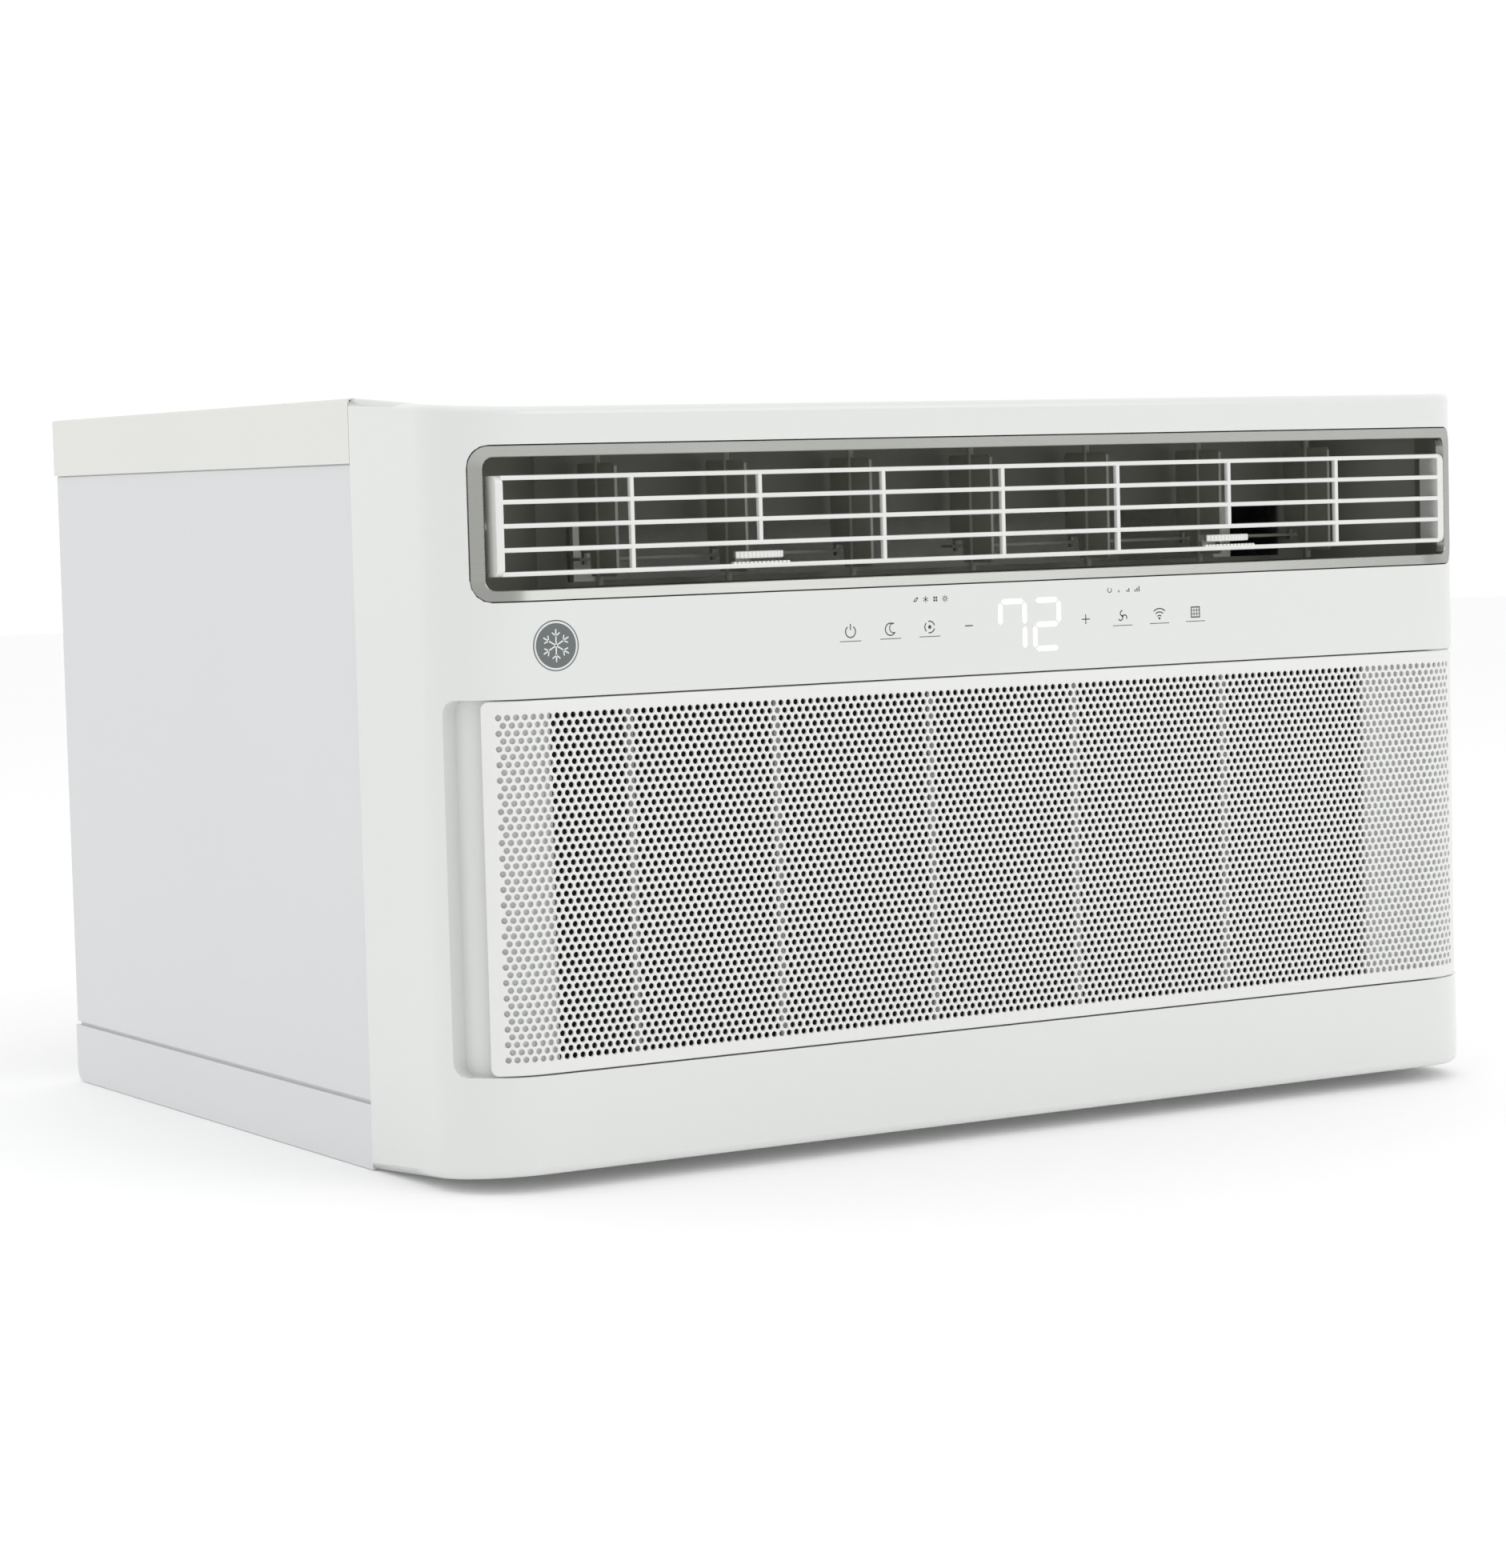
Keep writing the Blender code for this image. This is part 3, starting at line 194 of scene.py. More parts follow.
def welded_copy(node, name, material):
    """A copy of a CAD node whose loose triangles are joined at their corners."""
    bm = bmesh.new()
    bm.from_mesh(nodes[node].data)
    bmesh.ops.remove_doubles(bm, verts=bm.verts, dist=0.000005)
    return new_piece(name, bm, material)


def shade_as_bent(piece, angle=35):
    """Give a piece the normals of the front's real shape: level on its flats, round on its two corners."""
    mesh = piece.data
    mesh.shade_smooth()
    mesh.set_sharp_from_angle(angle=math.radians(angle))
    normals = [corner.vector.copy() for corner in mesh.corner_normals]
    known = [[] for vert in mesh.vertices]
    loose = []
    for face in mesh.polygons:
        facing = face.normal.copy()
        flat = max(map(abs, facing)) > 0.9999 or (abs(facing.x) < 0.001 and abs(facing.z) > 0.99)
        for corner in face.loop_indices:
            number = mesh.loops[corner].vertex_index
            at = mesh.vertices[number].co
            out = Vector((abs(at.x) - STRAIGHT_HALF, at.y - FACE - CORNER_R, 0.0)).normalized()
            out.x *= math.copysign(1.0, at.x)
            if flat:
                normals[corner] = facing
            elif abs(out.dot(facing)) > 0.99:
                normals[corner] = out * math.copysign(1.0, out.dot(facing))
            else:
                loose.append((corner, number, facing))
                continue
            known[number].append(normals[corner])
    for corner, number, facing in loose:
        near = [normal for normal in known[number] if normal.dot(facing) > math.cos(math.radians(angle))]
        if near:
            normals[corner] = max(near, key=facing.dot)
    mesh.normals_split_custom_set(normals)
    return piece


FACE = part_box("front_frame")[0].y
CORNER_R = 0.0437
STRAIGHT_HALF = cad_box[1].x - CORNER_R
polish = {"Coat_Weight": 0.25, "Coat_Roughness": 0.08}
glossy_abs = make_surface("high_gloss_moulded_abs", "#E2E4E2", "#DFE1DF", 320, 0.20, 6.0, 0.004, **polish)
front = shade_as_bent(welded_copy("front_frame", "moulded_front", glossy_abs))
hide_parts("front_frame")
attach(front, "cabinet")

# --- Perforated intake panel ------------------------------------------------------------------------------
# A satin ABS panel that wraps the corners and hinges at its foot. Some six thousand countersunk holes, 3.2 mm
# wide on a 60 degree stagger, are moulded through its 1.2 mm field in 45 rows, and each half of its length
# is one mesh. Plain pale linings, clipped in behind, close the field at both ends.


def start_tree(name, inputs):
    """An empty geometry tree with named inputs. It gives the tree, its inputs and its end."""
    tree = bpy.data.node_groups.new(name, "GeometryNodeTree")
    tree.interface.new_socket("Geometry", in_out="INPUT", socket_type="NodeSocketGeometry")
    for socket, kind in inputs.items():
        tree.interface.new_socket(socket, in_out="INPUT", socket_type=f"NodeSocket{kind}")
    tree.interface.new_socket("Geometry", in_out="OUTPUT", socket_type="NodeSocketGeometry")
    return tree, tree.nodes.new("NodeGroupInput").outputs, tree.nodes.new("NodeGroupOutput").inputs[0]


def grow(piece, tree, **values):
    """Run a geometry tree on a piece, and keep what it makes as the piece's own mesh."""
    modifier = piece.modifiers.new(tree.name, "NODES")
    modifier.node_group = tree
    for item in tree.interface.items_tree:
        if item.item_type == "SOCKET" and item.in_out == "INPUT" and item.name in values:
            modifier[item.identifier] = values[item.name]
    bpy.context.view_layer.update()
    made = bpy.data.meshes.new_from_object(piece.evaluated_get(bpy.context.evaluated_depsgraph_get()))
    piece.modifiers.remove(modifier)
    piece.data = made
    return piece


def end_tree(tree, shape, material, end):
    """Close a geometry tree with real copies and their material."""
    real = add_node(tree, "GeometryNodeRealizeInstances", {0: shape})
    finished = add_node(tree, "GeometryNodeSetMaterial", {"Geometry": real.outputs[0], "Material": material})
    tree.links.new(finished.outputs[0], end)


# Bends a flat shape, drawn as X along the front and Y inwards, round the front's two corners.
bend, given, end = start_tree(
    "bend_round_corners",
    {"Straight Half": "Float", "Corner Radius": "Float", "Face": "Float", "Material": "Material"},
)
place = add_node(bend, "GeometryNodeInputPosition").outputs[0]
place = add_node(bend, "ShaderNodeSeparateXYZ", {0: place})
along = add_node(bend, "ShaderNodeMath", {0: place.outputs["X"]}, operation="ABSOLUTE").outputs[0]
side = add_node(bend, "ShaderNodeMath", {0: place.outputs["X"]}, operation="SIGN").outputs[0]
run = add_node(bend, "ShaderNodeMath", {0: along, 1: given["Straight Half"]}, operation="SUBTRACT").outputs[0]
run = add_node(bend, "ShaderNodeMath", {0: run, 1: 0.0}, operation="MAXIMUM").outputs[0]
angle = add_node(bend, "ShaderNodeMath", {0: run, 1: given["Corner Radius"]}, operation="DIVIDE").outputs[0]
reach = add_node(
    bend, "ShaderNodeMath", {0: given["Corner Radius"], 1: place.outputs["Y"]}, operation="SUBTRACT"
).outputs[0]
sine = add_node(bend, "ShaderNodeMath", {0: angle}, operation="SINE").outputs[0]
cosine = add_node(bend, "ShaderNodeMath", {0: angle}, operation="COSINE").outputs[0]
flat = add_node(bend, "ShaderNodeMath", {0: along, 1: given["Straight Half"]}, operation="MINIMUM").outputs[0]
outward = add_node(bend, "ShaderNodeMath", {0: reach, 1: sine, 2: flat}, operation="MULTIPLY_ADD").outputs[0]
outward = add_node(bend, "ShaderNodeMath", {0: outward, 1: side}, operation="MULTIPLY").outputs[0]
inward = add_node(bend, "ShaderNodeMath", {0: reach, 1: cosine}, operation="MULTIPLY").outputs[0]
inward = add_node(
    bend, "ShaderNodeMath", {0: given["Corner Radius"], 1: inward}, operation="SUBTRACT"
).outputs[0]
inward = add_node(bend, "ShaderNodeMath", {0: inward, 1: given["Face"]}, operation="ADD").outputs[0]
bent = add_node(bend, "ShaderNodeCombineXYZ", {0: outward, 1: inward, 2: place.outputs["Z"]})
moves = {"Geometry": given["Geometry"], "Position": bent.outputs[0]}
moved = add_node(bend, "GeometryNodeSetPosition", moves)
end_tree(bend, moved.outputs[0], given["Material"], end)

# Lays the pierced cells in staggered rows, closes the open ends of the field and adds the rim.
pierce, given, end = start_tree(
    "staggered_perforations",
    {
        "Rim": "Object",
        "Pitch": "Float",
        "Row Height": "Float",
        "Even Columns": "Int",
        "Odd Columns": "Int",
        "Even Rows": "Int",
        "Odd Rows": "Int",
        "Thickness": "Float",
        "Start": "Vector",
        "Material": "Material",
    },
)
field = []
for odd, kind in enumerate(("Even", "Odd")):
    across = add_node(pierce, "ShaderNodeCombineXYZ", {0: given["Pitch"]}).outputs[0]
    upward = add_node(pierce, "ShaderNodeCombineXYZ", {2: given["Row Height"]}).outputs[0]
    step_up = add_node(pierce, "ShaderNodeVectorMath", {0: upward, "Scale": 2.0}, operation="SCALE")
    aside = add_node(pierce, "ShaderNodeVectorMath", {0: across, "Scale": odd / 2}, operation="SCALE")
    above = add_node(pierce, "ShaderNodeVectorMath", {0: upward, "Scale": float(odd)}, operation="SCALE")
    shift = {0: aside.outputs[0], 1: above.outputs[0]}
    shift = add_node(pierce, "ShaderNodeVectorMath", shift, operation="ADD").outputs[0]
    start = add_node(pierce, "ShaderNodeVectorMath", {0: given["Start"], 1: shift}, operation="ADD")
    line = add_node(pierce, "GeometryNodeMeshLine", {"Count": given[f"{kind} Columns"], "Offset": across})
    copied = {"Points": line.outputs[0], "Instance": given["Geometry"]}
    row = add_node(pierce, "GeometryNodeInstanceOnPoints", copied)
    risen = {"Start Location": start.outputs[0], "Offset": step_up.outputs[0]}
    pile = add_node(pierce, "GeometryNodeMeshLine", {"Count": given[f"{kind} Rows"], **risen})
    stacked = {"Points": pile.outputs[0], "Instance": row.outputs[0]}
    rows = add_node(pierce, "GeometryNodeInstanceOnPoints", stacked)
    field.append(add_node(pierce, "GeometryNodeRealizeInstances", {0: rows.outputs[0]}).outputs[0])
rim = add_node(pierce, "GeometryNodeObjectInfo", {"Object": given["Rim"]}).outputs["Geometry"]
joined = add_node(pierce, "GeometryNodeJoinGeometry")
for shape in (rim, *field):
    pierce.links.new(shape, joined.inputs[0])
welded = add_node(pierce, "GeometryNodeMergeByDistance", {"Geometry": joined.outputs[0], "Distance": 0.00004})
faces = add_node(pierce, "GeometryNodeInputMeshEdgeNeighbors").outputs[0]
lone = add_node(pierce, "FunctionNodeCompare", {0: faces, 1: 1.5}, operation="LESS_THAN")
depth = add_node(pierce, "GeometryNodeInputPosition").outputs[0]
depth = add_node(pierce, "ShaderNodeSeparateXYZ", {0: depth})
outer = add_node(pierce, "FunctionNodeCompare", {0: depth.outputs["Y"], 1: 0.0005}, operation="LESS_THAN")
cut = add_node(pierce, "FunctionNodeBooleanMath", {0: lone.outputs[0], 1: outer.outputs[0]}, operation="AND")
inwards = add_node(pierce, "ShaderNodeCombineXYZ", {1: given["Thickness"]})
pulled = {"Selection": cut.outputs[0], "Offset": inwards.outputs[0], "Offset Scale": 1.0}
closed = add_node(pierce, "GeometryNodeExtrudeMesh", {"Mesh": welded.outputs[0], **pulled}, mode="EDGES")
sealed = add_node(pierce, "GeometryNodeMergeByDistance", {"Geometry": closed.outputs[0], "Distance": 0.00004})
end_tree(pierce, sealed.outputs[0], given["Material"], end)

PANEL_LOW, PANEL_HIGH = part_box("intake_grille")
PANEL_REACH = STRAIGHT_HALF + CORNER_R * math.radians(40)
PANEL_THICK = 0.0025
FIELD_THICK = 0.0012
HOLE_PITCH = 0.00449
HOLE_ROW = 0.00389
HOLE_COLUMNS = 137
HOLE_ROWS = 45
HOLE_MOUTH_R = 0.00172
HOLE_R = 0.00160
HOLE_SIDES = 8

panel_middle = (PANEL_LOW.z + PANEL_HIGH.z) / 2
panel_half = (PANEL_HIGH.z - PANEL_LOW.z) / 2
field_half = HOLE_ROWS * HOLE_ROW / 2
field_reach = HOLE_COLUMNS * HOLE_PITCH / 2


def add_walls(bm, loops, closed=True):
    """Add the faces between loops of corners, where each loop may also close on itself."""
    for first, second in zip(loops, loops[1:]):
        for step in range(len(first) - 1 + closed):
            after = (step + 1) % len(first)
            bm.faces.new((first[step], first[after], second[after], second[step]))


def pierced_cell():
    """One cell of the panel: a brick-shaped tile with a tapered hole through it, open at its edges."""
    half_x = HOLE_PITCH / 2
    half_z = HOLE_ROW / 2
    bm = bmesh.new()
    tile = [(half_x, -half_z), (half_x, half_z), (0, half_z)]
    tile += [(-x, -z) for x, z in tile]
    turns = [2 * math.pi * (step + 0.5) / HOLE_SIDES for step in range(HOLE_SIDES)]
    rings = []
    for radius, depth in ((HOLE_MOUTH_R, 0.0), (HOLE_R, 0.00022), (HOLE_R, FIELD_THICK)):
        rings.append([bm.verts.new((radius * math.cos(a), depth, radius * math.sin(a))) for a in turns])
    add_walls(bm, rings)
    for ring, depth in ((rings[0], 0.0), (rings[2], FIELD_THICK)):
        edge = [bm.verts.new((x, depth, z)) for x, z in tile]
        nearest = [min(range(HOLE_SIDES), key=lambda i: (ring[i].co - vert.co).length) for vert in edge]
        for corner, vert in enumerate(edge):
            following = (corner + 1) % len(edge)
            step = nearest[corner]
            while step != nearest[following]:
                bm.faces.new((vert, ring[step], ring[(step + 1) % HOLE_SIDES]))
                step = (step + 1) % HOLE_SIDES
            bm.faces.new((vert, ring[step], edge[following]))
    bmesh.ops.recalc_face_normals(bm, faces=bm.faces)
    shown = [face for face in bm.faces if face.calc_center_median().y < 0.00001]
    if sum(face.normal.y * face.calc_area() for face in shown) > 0:
        bmesh.ops.reverse_faces(bm, faces=bm.faces)
    return bm


def panel_rim(side):
    """The edge of half a panel: its rounded rim, front and back, its cut end and the blank half tiles."""
    corner_r = 0.0040
    halves = round((side * field_reach - HOLE_PITCH / 2) / (side * HOLE_PITCH / 2)) + 1
    stations = []
    for step in range(halves):
        x = HOLE_PITCH / 2 + side * step * HOLE_PITCH / 2
        stations.append(((x, -field_half), (x, -panel_half), (0, -1)))
    for level, quarter in ((-1, 0), (1, 1)):
        centre = (side * (PANEL_REACH - corner_r), level * (panel_half - corner_r))
        for step in range(6):
            turn = math.radians(-90 + 90 * quarter + 90 * step / 5)
            across = side * math.cos(turn)
            point = (centre[0] + corner_r * across, centre[1] + corner_r * math.sin(turn))
            stations.append(((side * field_reach, level * field_half), point, (across, math.sin(turn))))
        if level < 0:
            for row in range(HOLE_ROWS + 1):
                z = -field_half + row * HOLE_ROW
                stations.append(((side * field_reach, z), (side * PANEL_REACH, z), (side, 0)))
    for step in reversed(range(halves)):
        x = HOLE_PITCH / 2 + side * step * HOLE_PITCH / 2
        stations.append(((x, field_half), (x, panel_half), (0, 1)))
    bm = bmesh.new()
    profile = [(0.0034, 0.0), (0.0009, 0.0), (0.00026, 0.00026), (0.0, 0.0009), (0.0, PANEL_THICK - 0.0003)]
    profile.append((0.0003, PANEL_THICK))
    steps = [(0, 0.0, 0.0)]
    steps += [(1, -inset, depth) for inset, depth in profile]
    steps += [(0, 0.0006, PANEL_THICK), (0, 0.0, FIELD_THICK)]
    rings = []
    for base, step_out, depth in steps:
        ring = []
        for *bases, out in stations:
            x, z = bases[base]
            ring.append(bm.verts.new((x + out[0] * step_out, depth, z + out[1] * step_out)))
        rings.append(ring)
    add_walls(bm, rings, closed=False)
    for end_of_rim in (0, -1):
        bm.faces.new([ring[end_of_rim] for ring in rings])
    for row in range(1, HOLE_ROWS, 2):
        low = -field_half + row * HOLE_ROW
        high = low + HOLE_ROW
        inner = side * (field_reach - HOLE_PITCH / 2)
        outer = side * field_reach
        blank = ((inner, low), (outer, low), (outer, high), (inner, high))
        for depth in (0.0, FIELD_THICK):
            bm.faces.new([bm.verts.new((x, depth, z)) for x, z in blank])
    bmesh.ops.remove_doubles(bm, verts=bm.verts, dist=0.000002)
    bmesh.ops.dissolve_degenerate(bm, dist=0.000002, edges=bm.edges)
    return bm


def face_outwards(piece):
    """Turn every face of a closed piece outwards."""
    bm = bmesh.new()
    bm.from_mesh(piece.data)
    bmesh.ops.recalc_face_normals(bm, faces=bm.faces)
    bm.to_mesh(piece.data)
    bm.free()
    return piece


def bend_on(piece, material):
    """Bend a flat piece round the front."""
    sizes = {"Straight Half": STRAIGHT_HALF, "Corner Radius": CORNER_R, "Face": FACE}
    return grow(piece, bend, **sizes, Material=material)


satin_abs = make_surface("satin_moulded_abs", "#E9EAE8", "#E5E6E4", 300, 0.36, 2.0, 0.004)
for name, side, even_columns, odd_columns in (
    ("intake_panel_left", -1, 69, 69),
    ("intake_panel_right", 1, 68, 67),
):
    rim = new_piece("rim", panel_rim(side), satin_abs)
    panel = new_piece(name, pierced_cell(), satin_abs)
    first_x = -field_reach + HOLE_PITCH / 2 if side < 0 else HOLE_PITCH
    sizes = {
        "Pitch": HOLE_PITCH,
        "Row Height": HOLE_ROW,
        "Even Columns": even_columns,
        "Odd Columns": odd_columns,
        "Even Rows": (HOLE_ROWS + 1) // 2,
        "Odd Rows": HOLE_ROWS // 2,
        "Thickness": FIELD_THICK,
        "Start": (first_x, 0.0, HOLE_ROW / 2 - field_half),
    }
    grow(panel, pierce, **sizes, Rim=rim, Material=satin_abs)
    bpy.data.objects.remove(rim)
    panel.data.transform(Matrix.Translation((0, 0, panel_middle)))
    face_outwards(panel)
    bend_on(panel, satin_abs)
    if side < 0:
        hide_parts("intake_grille")
    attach(panel, "grille_door")

bm = bmesh.new()
lining_foot = panel_middle - field_half - 0.001
lining_top = panel_middle + field_half + 0.001
for first_x, last_x in ((-PANEL_REACH + 0.0040, -0.2770), (0.2400, PANEL_REACH - 0.0040)):
    sections = []
    for step in range(13):
        x = first_x + (last_x - first_x) * step / 12
        corners = ((0.0023, lining_foot), (0.0023, lining_top), (0.0031, lining_top), (0.0031, lining_foot))
        sections.append([bm.verts.new((x, depth, z)) for depth, z in corners])
    add_walls(bm, sections)
    bm.faces.new(sections[0])
    bm.faces.new(sections[-1])
linings = face_outwards(new_piece("panel_linings", bm, satin_abs))
bend_on(linings, satin_abs)
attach(linings, "grille_door")

# --- Air filter -------------------------------------------------------------------------------------------
# A pale polypropylene frame with upright ribs, clipped behind the panel, and its black nylon netting. Real
# threads are finer: drawn 0.6 mm thick on a 1 mm pitch, they read as nearly black through the panel's holes.

repeat, given, end = start_tree("row_of_copies", {"Count": "Int", "Step": "Vector", "Material": "Material"})
line = add_node(repeat, "GeometryNodeMeshLine", {"Count": given["Count"], "Offset": given["Step"]})
copied = {"Points": line.outputs[0], "Instance": given["Geometry"]}
copies = add_node(repeat, "GeometryNodeInstanceOnPoints", copied)
end_tree(repeat, copies.outputs[0], given["Material"], end)


def add_block(bm, low, high, radius=0.0, segments=2):
    """Add a block between two corners to a mesh in progress, with all its edges rounded."""
    low = Vector(low)
    high = Vector(high)
    sizes = Matrix.Diagonal((*(high - low), 1.0))
    verts = bmesh.ops.create_cube(bm, size=1.0, matrix=Matrix.Translation((low + high) / 2) @ sizes)["verts"]
    if radius:
        edges = list(dict.fromkeys(edge for vert in verts for edge in vert.link_edges))
        bmesh.ops.bevel(bm, geom=edges, offset=radius, segments=segments, affect="EDGES", profile=0.5)


def join_pieces(first, *others):
    """Add the meshes of other pieces to the first, and remove those pieces."""
    bm = bmesh.new()
    for piece in (first, *others):
        bm.from_mesh(piece.data)
    bm.to_mesh(first.data)
    bm.free()
    for piece in others:
        bpy.data.objects.remove(piece)
    return first


filter_polypropylene = make_surface("moulded_polypropylene_frame", "#DCDEDA", "#D5D7D3", 90, 0.48, 1.2, 0.008)
dress(filter_polypropylene, "filter_frame")

nylon_net = make_surface("black_nylon_netting", "#111111", "#0B0B0B", 12, 0.70, 0.6, 0.01)
NET_LOW, NET_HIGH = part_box("filter_net")
THREAD = 0.00060
THREAD_PITCH = 0.0010
OUTSIDE = 0.00022
OVERLAP = 0.00005
middle_y = (NET_LOW.y + NET_HIGH.y) / 2
bm = bmesh.new()
low = (NET_LOW.x, middle_y - OUTSIDE, NET_LOW.z)
add_block(bm, low, (NET_HIGH.x, middle_y + OVERLAP, NET_LOW.z + THREAD))
net = new_piece("filter_netting", bm, nylon_net)
weft_count = int((NET_HIGH.z - NET_LOW.z - THREAD) / THREAD_PITCH) + 1
grow(net, repeat, Count=weft_count, Step=(0.0, 0.0, THREAD_PITCH), Material=nylon_net)
bm = bmesh.new()
low = (NET_LOW.x, middle_y - OVERLAP, NET_LOW.z)
add_block(bm, low, (NET_LOW.x + THREAD, middle_y + OUTSIDE, NET_HIGH.z))
warp = new_piece("warp", bm, nylon_net)
warp_count = int((NET_HIGH.x - NET_LOW.x - THREAD) / THREAD_PITCH) + 1
grow(warp, repeat, Count=warp_count, Step=(THREAD_PITCH, 0.0, 0.0), Material=nylon_net)
join_pieces(net, warp)
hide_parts("filter_net")
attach(net, "grille_door")

# --- Outlet ring ------------------------------------------------------------------------------------------
# Pressed aluminium trim, brushed along its length and clear coated, let into the front round the outlet and
# bent with it at both ends. Its face dips towards the opening, and the brushing stretches its highlights.

along_trim = (0.02, 0.02, 1.0)
brushed = make_surface(
    "brushed_aluminium_trim", "#B2B3AF", "#A5A6A2", 120, 0.28, 0.5, 0.005, along_trim, Metallic=1.0
)
# The outlines are half the length, the foot, the top and the corners' radius. The profile runs from the back
# of the outer edge to the back of the inner one, by its share of the way in and its depth.
RING_OUTER = (0.3173, 0.2965, 0.3737, 0.0110)
RING_INNER = (0.3097, 0.3019, 0.3680, 0.0055)
RING_BACK = 0.0060
RING_PROFILE = ((0.0, RING_BACK), (0.0, 0.0004), (0.05, 0.0), (0.94, 0.0013), (1.0, 0.0017), (1.0, RING_BACK))


def outline_points(half, low, high, radius):
    """A round-cornered outline, s along the front and z up, with as many points whatever its size."""
    points = []
    for number, (side, middle) in enumerate(
        ((1, low + radius), (1, high - radius), (-1, high - radius), (-1, low + radius))
    ):
        for step in range(13):
            angle = math.radians(90 * (number - 1) + 7.5 * step)
            s = side * (half - radius) + radius * math.cos(angle)
            points.append((s, middle + radius * math.sin(angle)))
        if number in (1, 3):
            past = (half - radius - STRAIGHT_HALF) / 5
            run = [STRAIGHT_HALF + past * step for step in (4, 3, 2, 1, 0)]
            run += [-s for s in reversed(run)]
            points += [(side * s, high if number == 1 else low) for s in run]
    return points


def on_front(s, depth, z):
    """A point at s along the front's face from its middle, depth behind the face and z up."""
    turn = max(0.0, abs(s) - STRAIGHT_HALF) / CORNER_R
    reach = CORNER_R - depth
    across = min(abs(s), STRAIGHT_HALF) + reach * math.sin(turn)
    return (math.copysign(across, s), FACE + CORNER_R - reach * math.cos(turn), z)


bm = bmesh.new()
loops = []
for share, depth in RING_PROFILE:
    outline = [outer + (inner - outer) * share for outer, inner in zip(RING_OUTER, RING_INNER)]
    loops.append([bm.verts.new(on_front(s, depth, z)) for s, z in outline_points(*outline)])
add_walls(bm, loops + loops[:1])
bmesh.ops.recalc_face_normals(bm, faces=bm.faces)
ring = new_piece("outlet_ring", bm, brushed)


def smoothed(piece, angle=35):
    """Round the shading of a piece over its shallow edges, weighted so that its flats stay flat."""
    piece.data.shade_smooth()
    piece.data.set_sharp_from_angle(angle=math.radians(angle))
    modifier = piece.modifiers.new("weighted", "WEIGHTED_NORMAL")
    modifier.keep_sharp = True
    modifier.weight = 90
    bpy.context.view_layer.update()
    made = bpy.data.meshes.new_from_object(piece.evaluated_get(bpy.context.evaluated_depsgraph_get()))
    piece.modifiers.remove(modifier)
    piece.data = made
    return piece


smoothed(ring, 30)
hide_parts("discharge_bezel")
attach(ring, "cabinet")

# --- Louvre grid ------------------------------------------------------------------------------------------
# One white ABS moulding of five slim bars and seven uprights between two rounded end plates, which tilts on a
# pin at each end. Two toothed ledges on the bottom bar and the arms behind them carry the levers.


def add_pin(bm, at, radius, depth, sides, taper=1.0):
    """Add a short round bar, placed and turned by a matrix, to a mesh in progress."""
    ends = {"radius1": radius, "radius2": radius * taper}
    bmesh.ops.create_cone(bm, cap_ends=True, segments=sides, **ends, depth=depth, matrix=at)


LOUVRE_LOW, LOUVRE_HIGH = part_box("louvre_frame")
BAR_PITCH = 0.01195
BAR = 0.0025
BAR_HALF = 0.3000
UPRIGHT_PITCH = 0.0752
CAP_HALF = 0.3030
LEDGE_HALF = 0.0172
PIN_R = 0.0026
PIVOT_Y = FACE + 0.0175
louvre_middle = (LOUVRE_LOW.z + LOUVRE_HIGH.z) / 2
louvre_face = LOUVRE_LOW.y
white_abs = make_surface("moulded_white_abs", "#E6E7E4", "#E2E3E0", 60, 0.30, 1.4, 0.004, Coat_Weight=0.15)

bm = bmesh.new()
lowest = louvre_middle - 2 * BAR_PITCH
bar_low = (-BAR_HALF, louvre_face, lowest - BAR / 2)
add_block(bm, bar_low, (BAR_HALF, louvre_face + 0.0055, lowest + BAR / 2), 0.0008)
louvre = new_piece("louvre_grid", bm, white_abs)
grow(louvre, repeat, Count=5, Step=(0.0, 0.0, BAR_PITCH), Material=white_abs)

bm = bmesh.new()
for number in (-3, -2, -1, 0, 1, 2, 3):
    middle = number * UPRIGHT_PITCH
    foot = lowest + (BAR_PITCH if abs(number) == 2 else 0.0)
    top = louvre_middle + 2 * BAR_PITCH
    low = (middle - BAR / 2, louvre_face + 0.0002, foot - 0.0005)
    add_block(bm, low, (middle + BAR / 2, louvre_face + 0.0034, top + 0.0005), 0.0007)
plates = []
for side in (-1, 1):
    plate = bmesh.new()
    ends = sorted((side * 0.2985, side * CAP_HALF))
    add_block(plate, (ends[0], louvre_face, LOUVRE_LOW.z), (ends[1], louvre_face + 0.0160, LOUVRE_HIGH.z))
    corners = [edge for edge in plate.edges if abs(edge.verts[0].co.x - edge.verts[1].co.x) > 0.001]
    bmesh.ops.bevel(plate, geom=corners, offset=0.0042, segments=5, affect="EDGES", profile=0.5)
    rims = [edge for edge in plate.edges if abs(edge.verts[0].co.x - edge.verts[1].co.x) < 0.0001]
    bmesh.ops.bevel(plate, geom=rims, offset=0.0007, segments=2, affect="EDGES", profile=0.5)
    plates.append(new_piece("end_plate", plate, white_abs))
    at = Matrix.Translation((side * (CAP_HALF + 0.0013), PIVOT_Y, louvre_middle))
    at = at @ Matrix.Rotation(math.pi / 2, 4, "Y")
    add_pin(bm, at, PIN_R, 0.0066, 24)
    ledge_x = side * 2 * UPRIGHT_PITCH
    low = (ledge_x - LEDGE_HALF, louvre_face + 0.0002, lowest - BAR / 2 + 0.0002)
    add_block(bm, low, (ledge_x + LEDGE_HALF, louvre_face + 0.0060, lowest + BAR / 2 - 0.0002), 0.0004)
    low = (ledge_x - 0.0045, louvre_face + 0.0045, lowest - BAR / 2 + 0.0003)
    add_block(bm, low, (ledge_x + 0.0045, louvre_face + 0.0270, lowest + BAR / 2 - 0.0003), 0.0004)
uprights = new_piece("uprights", bm, white_abs)

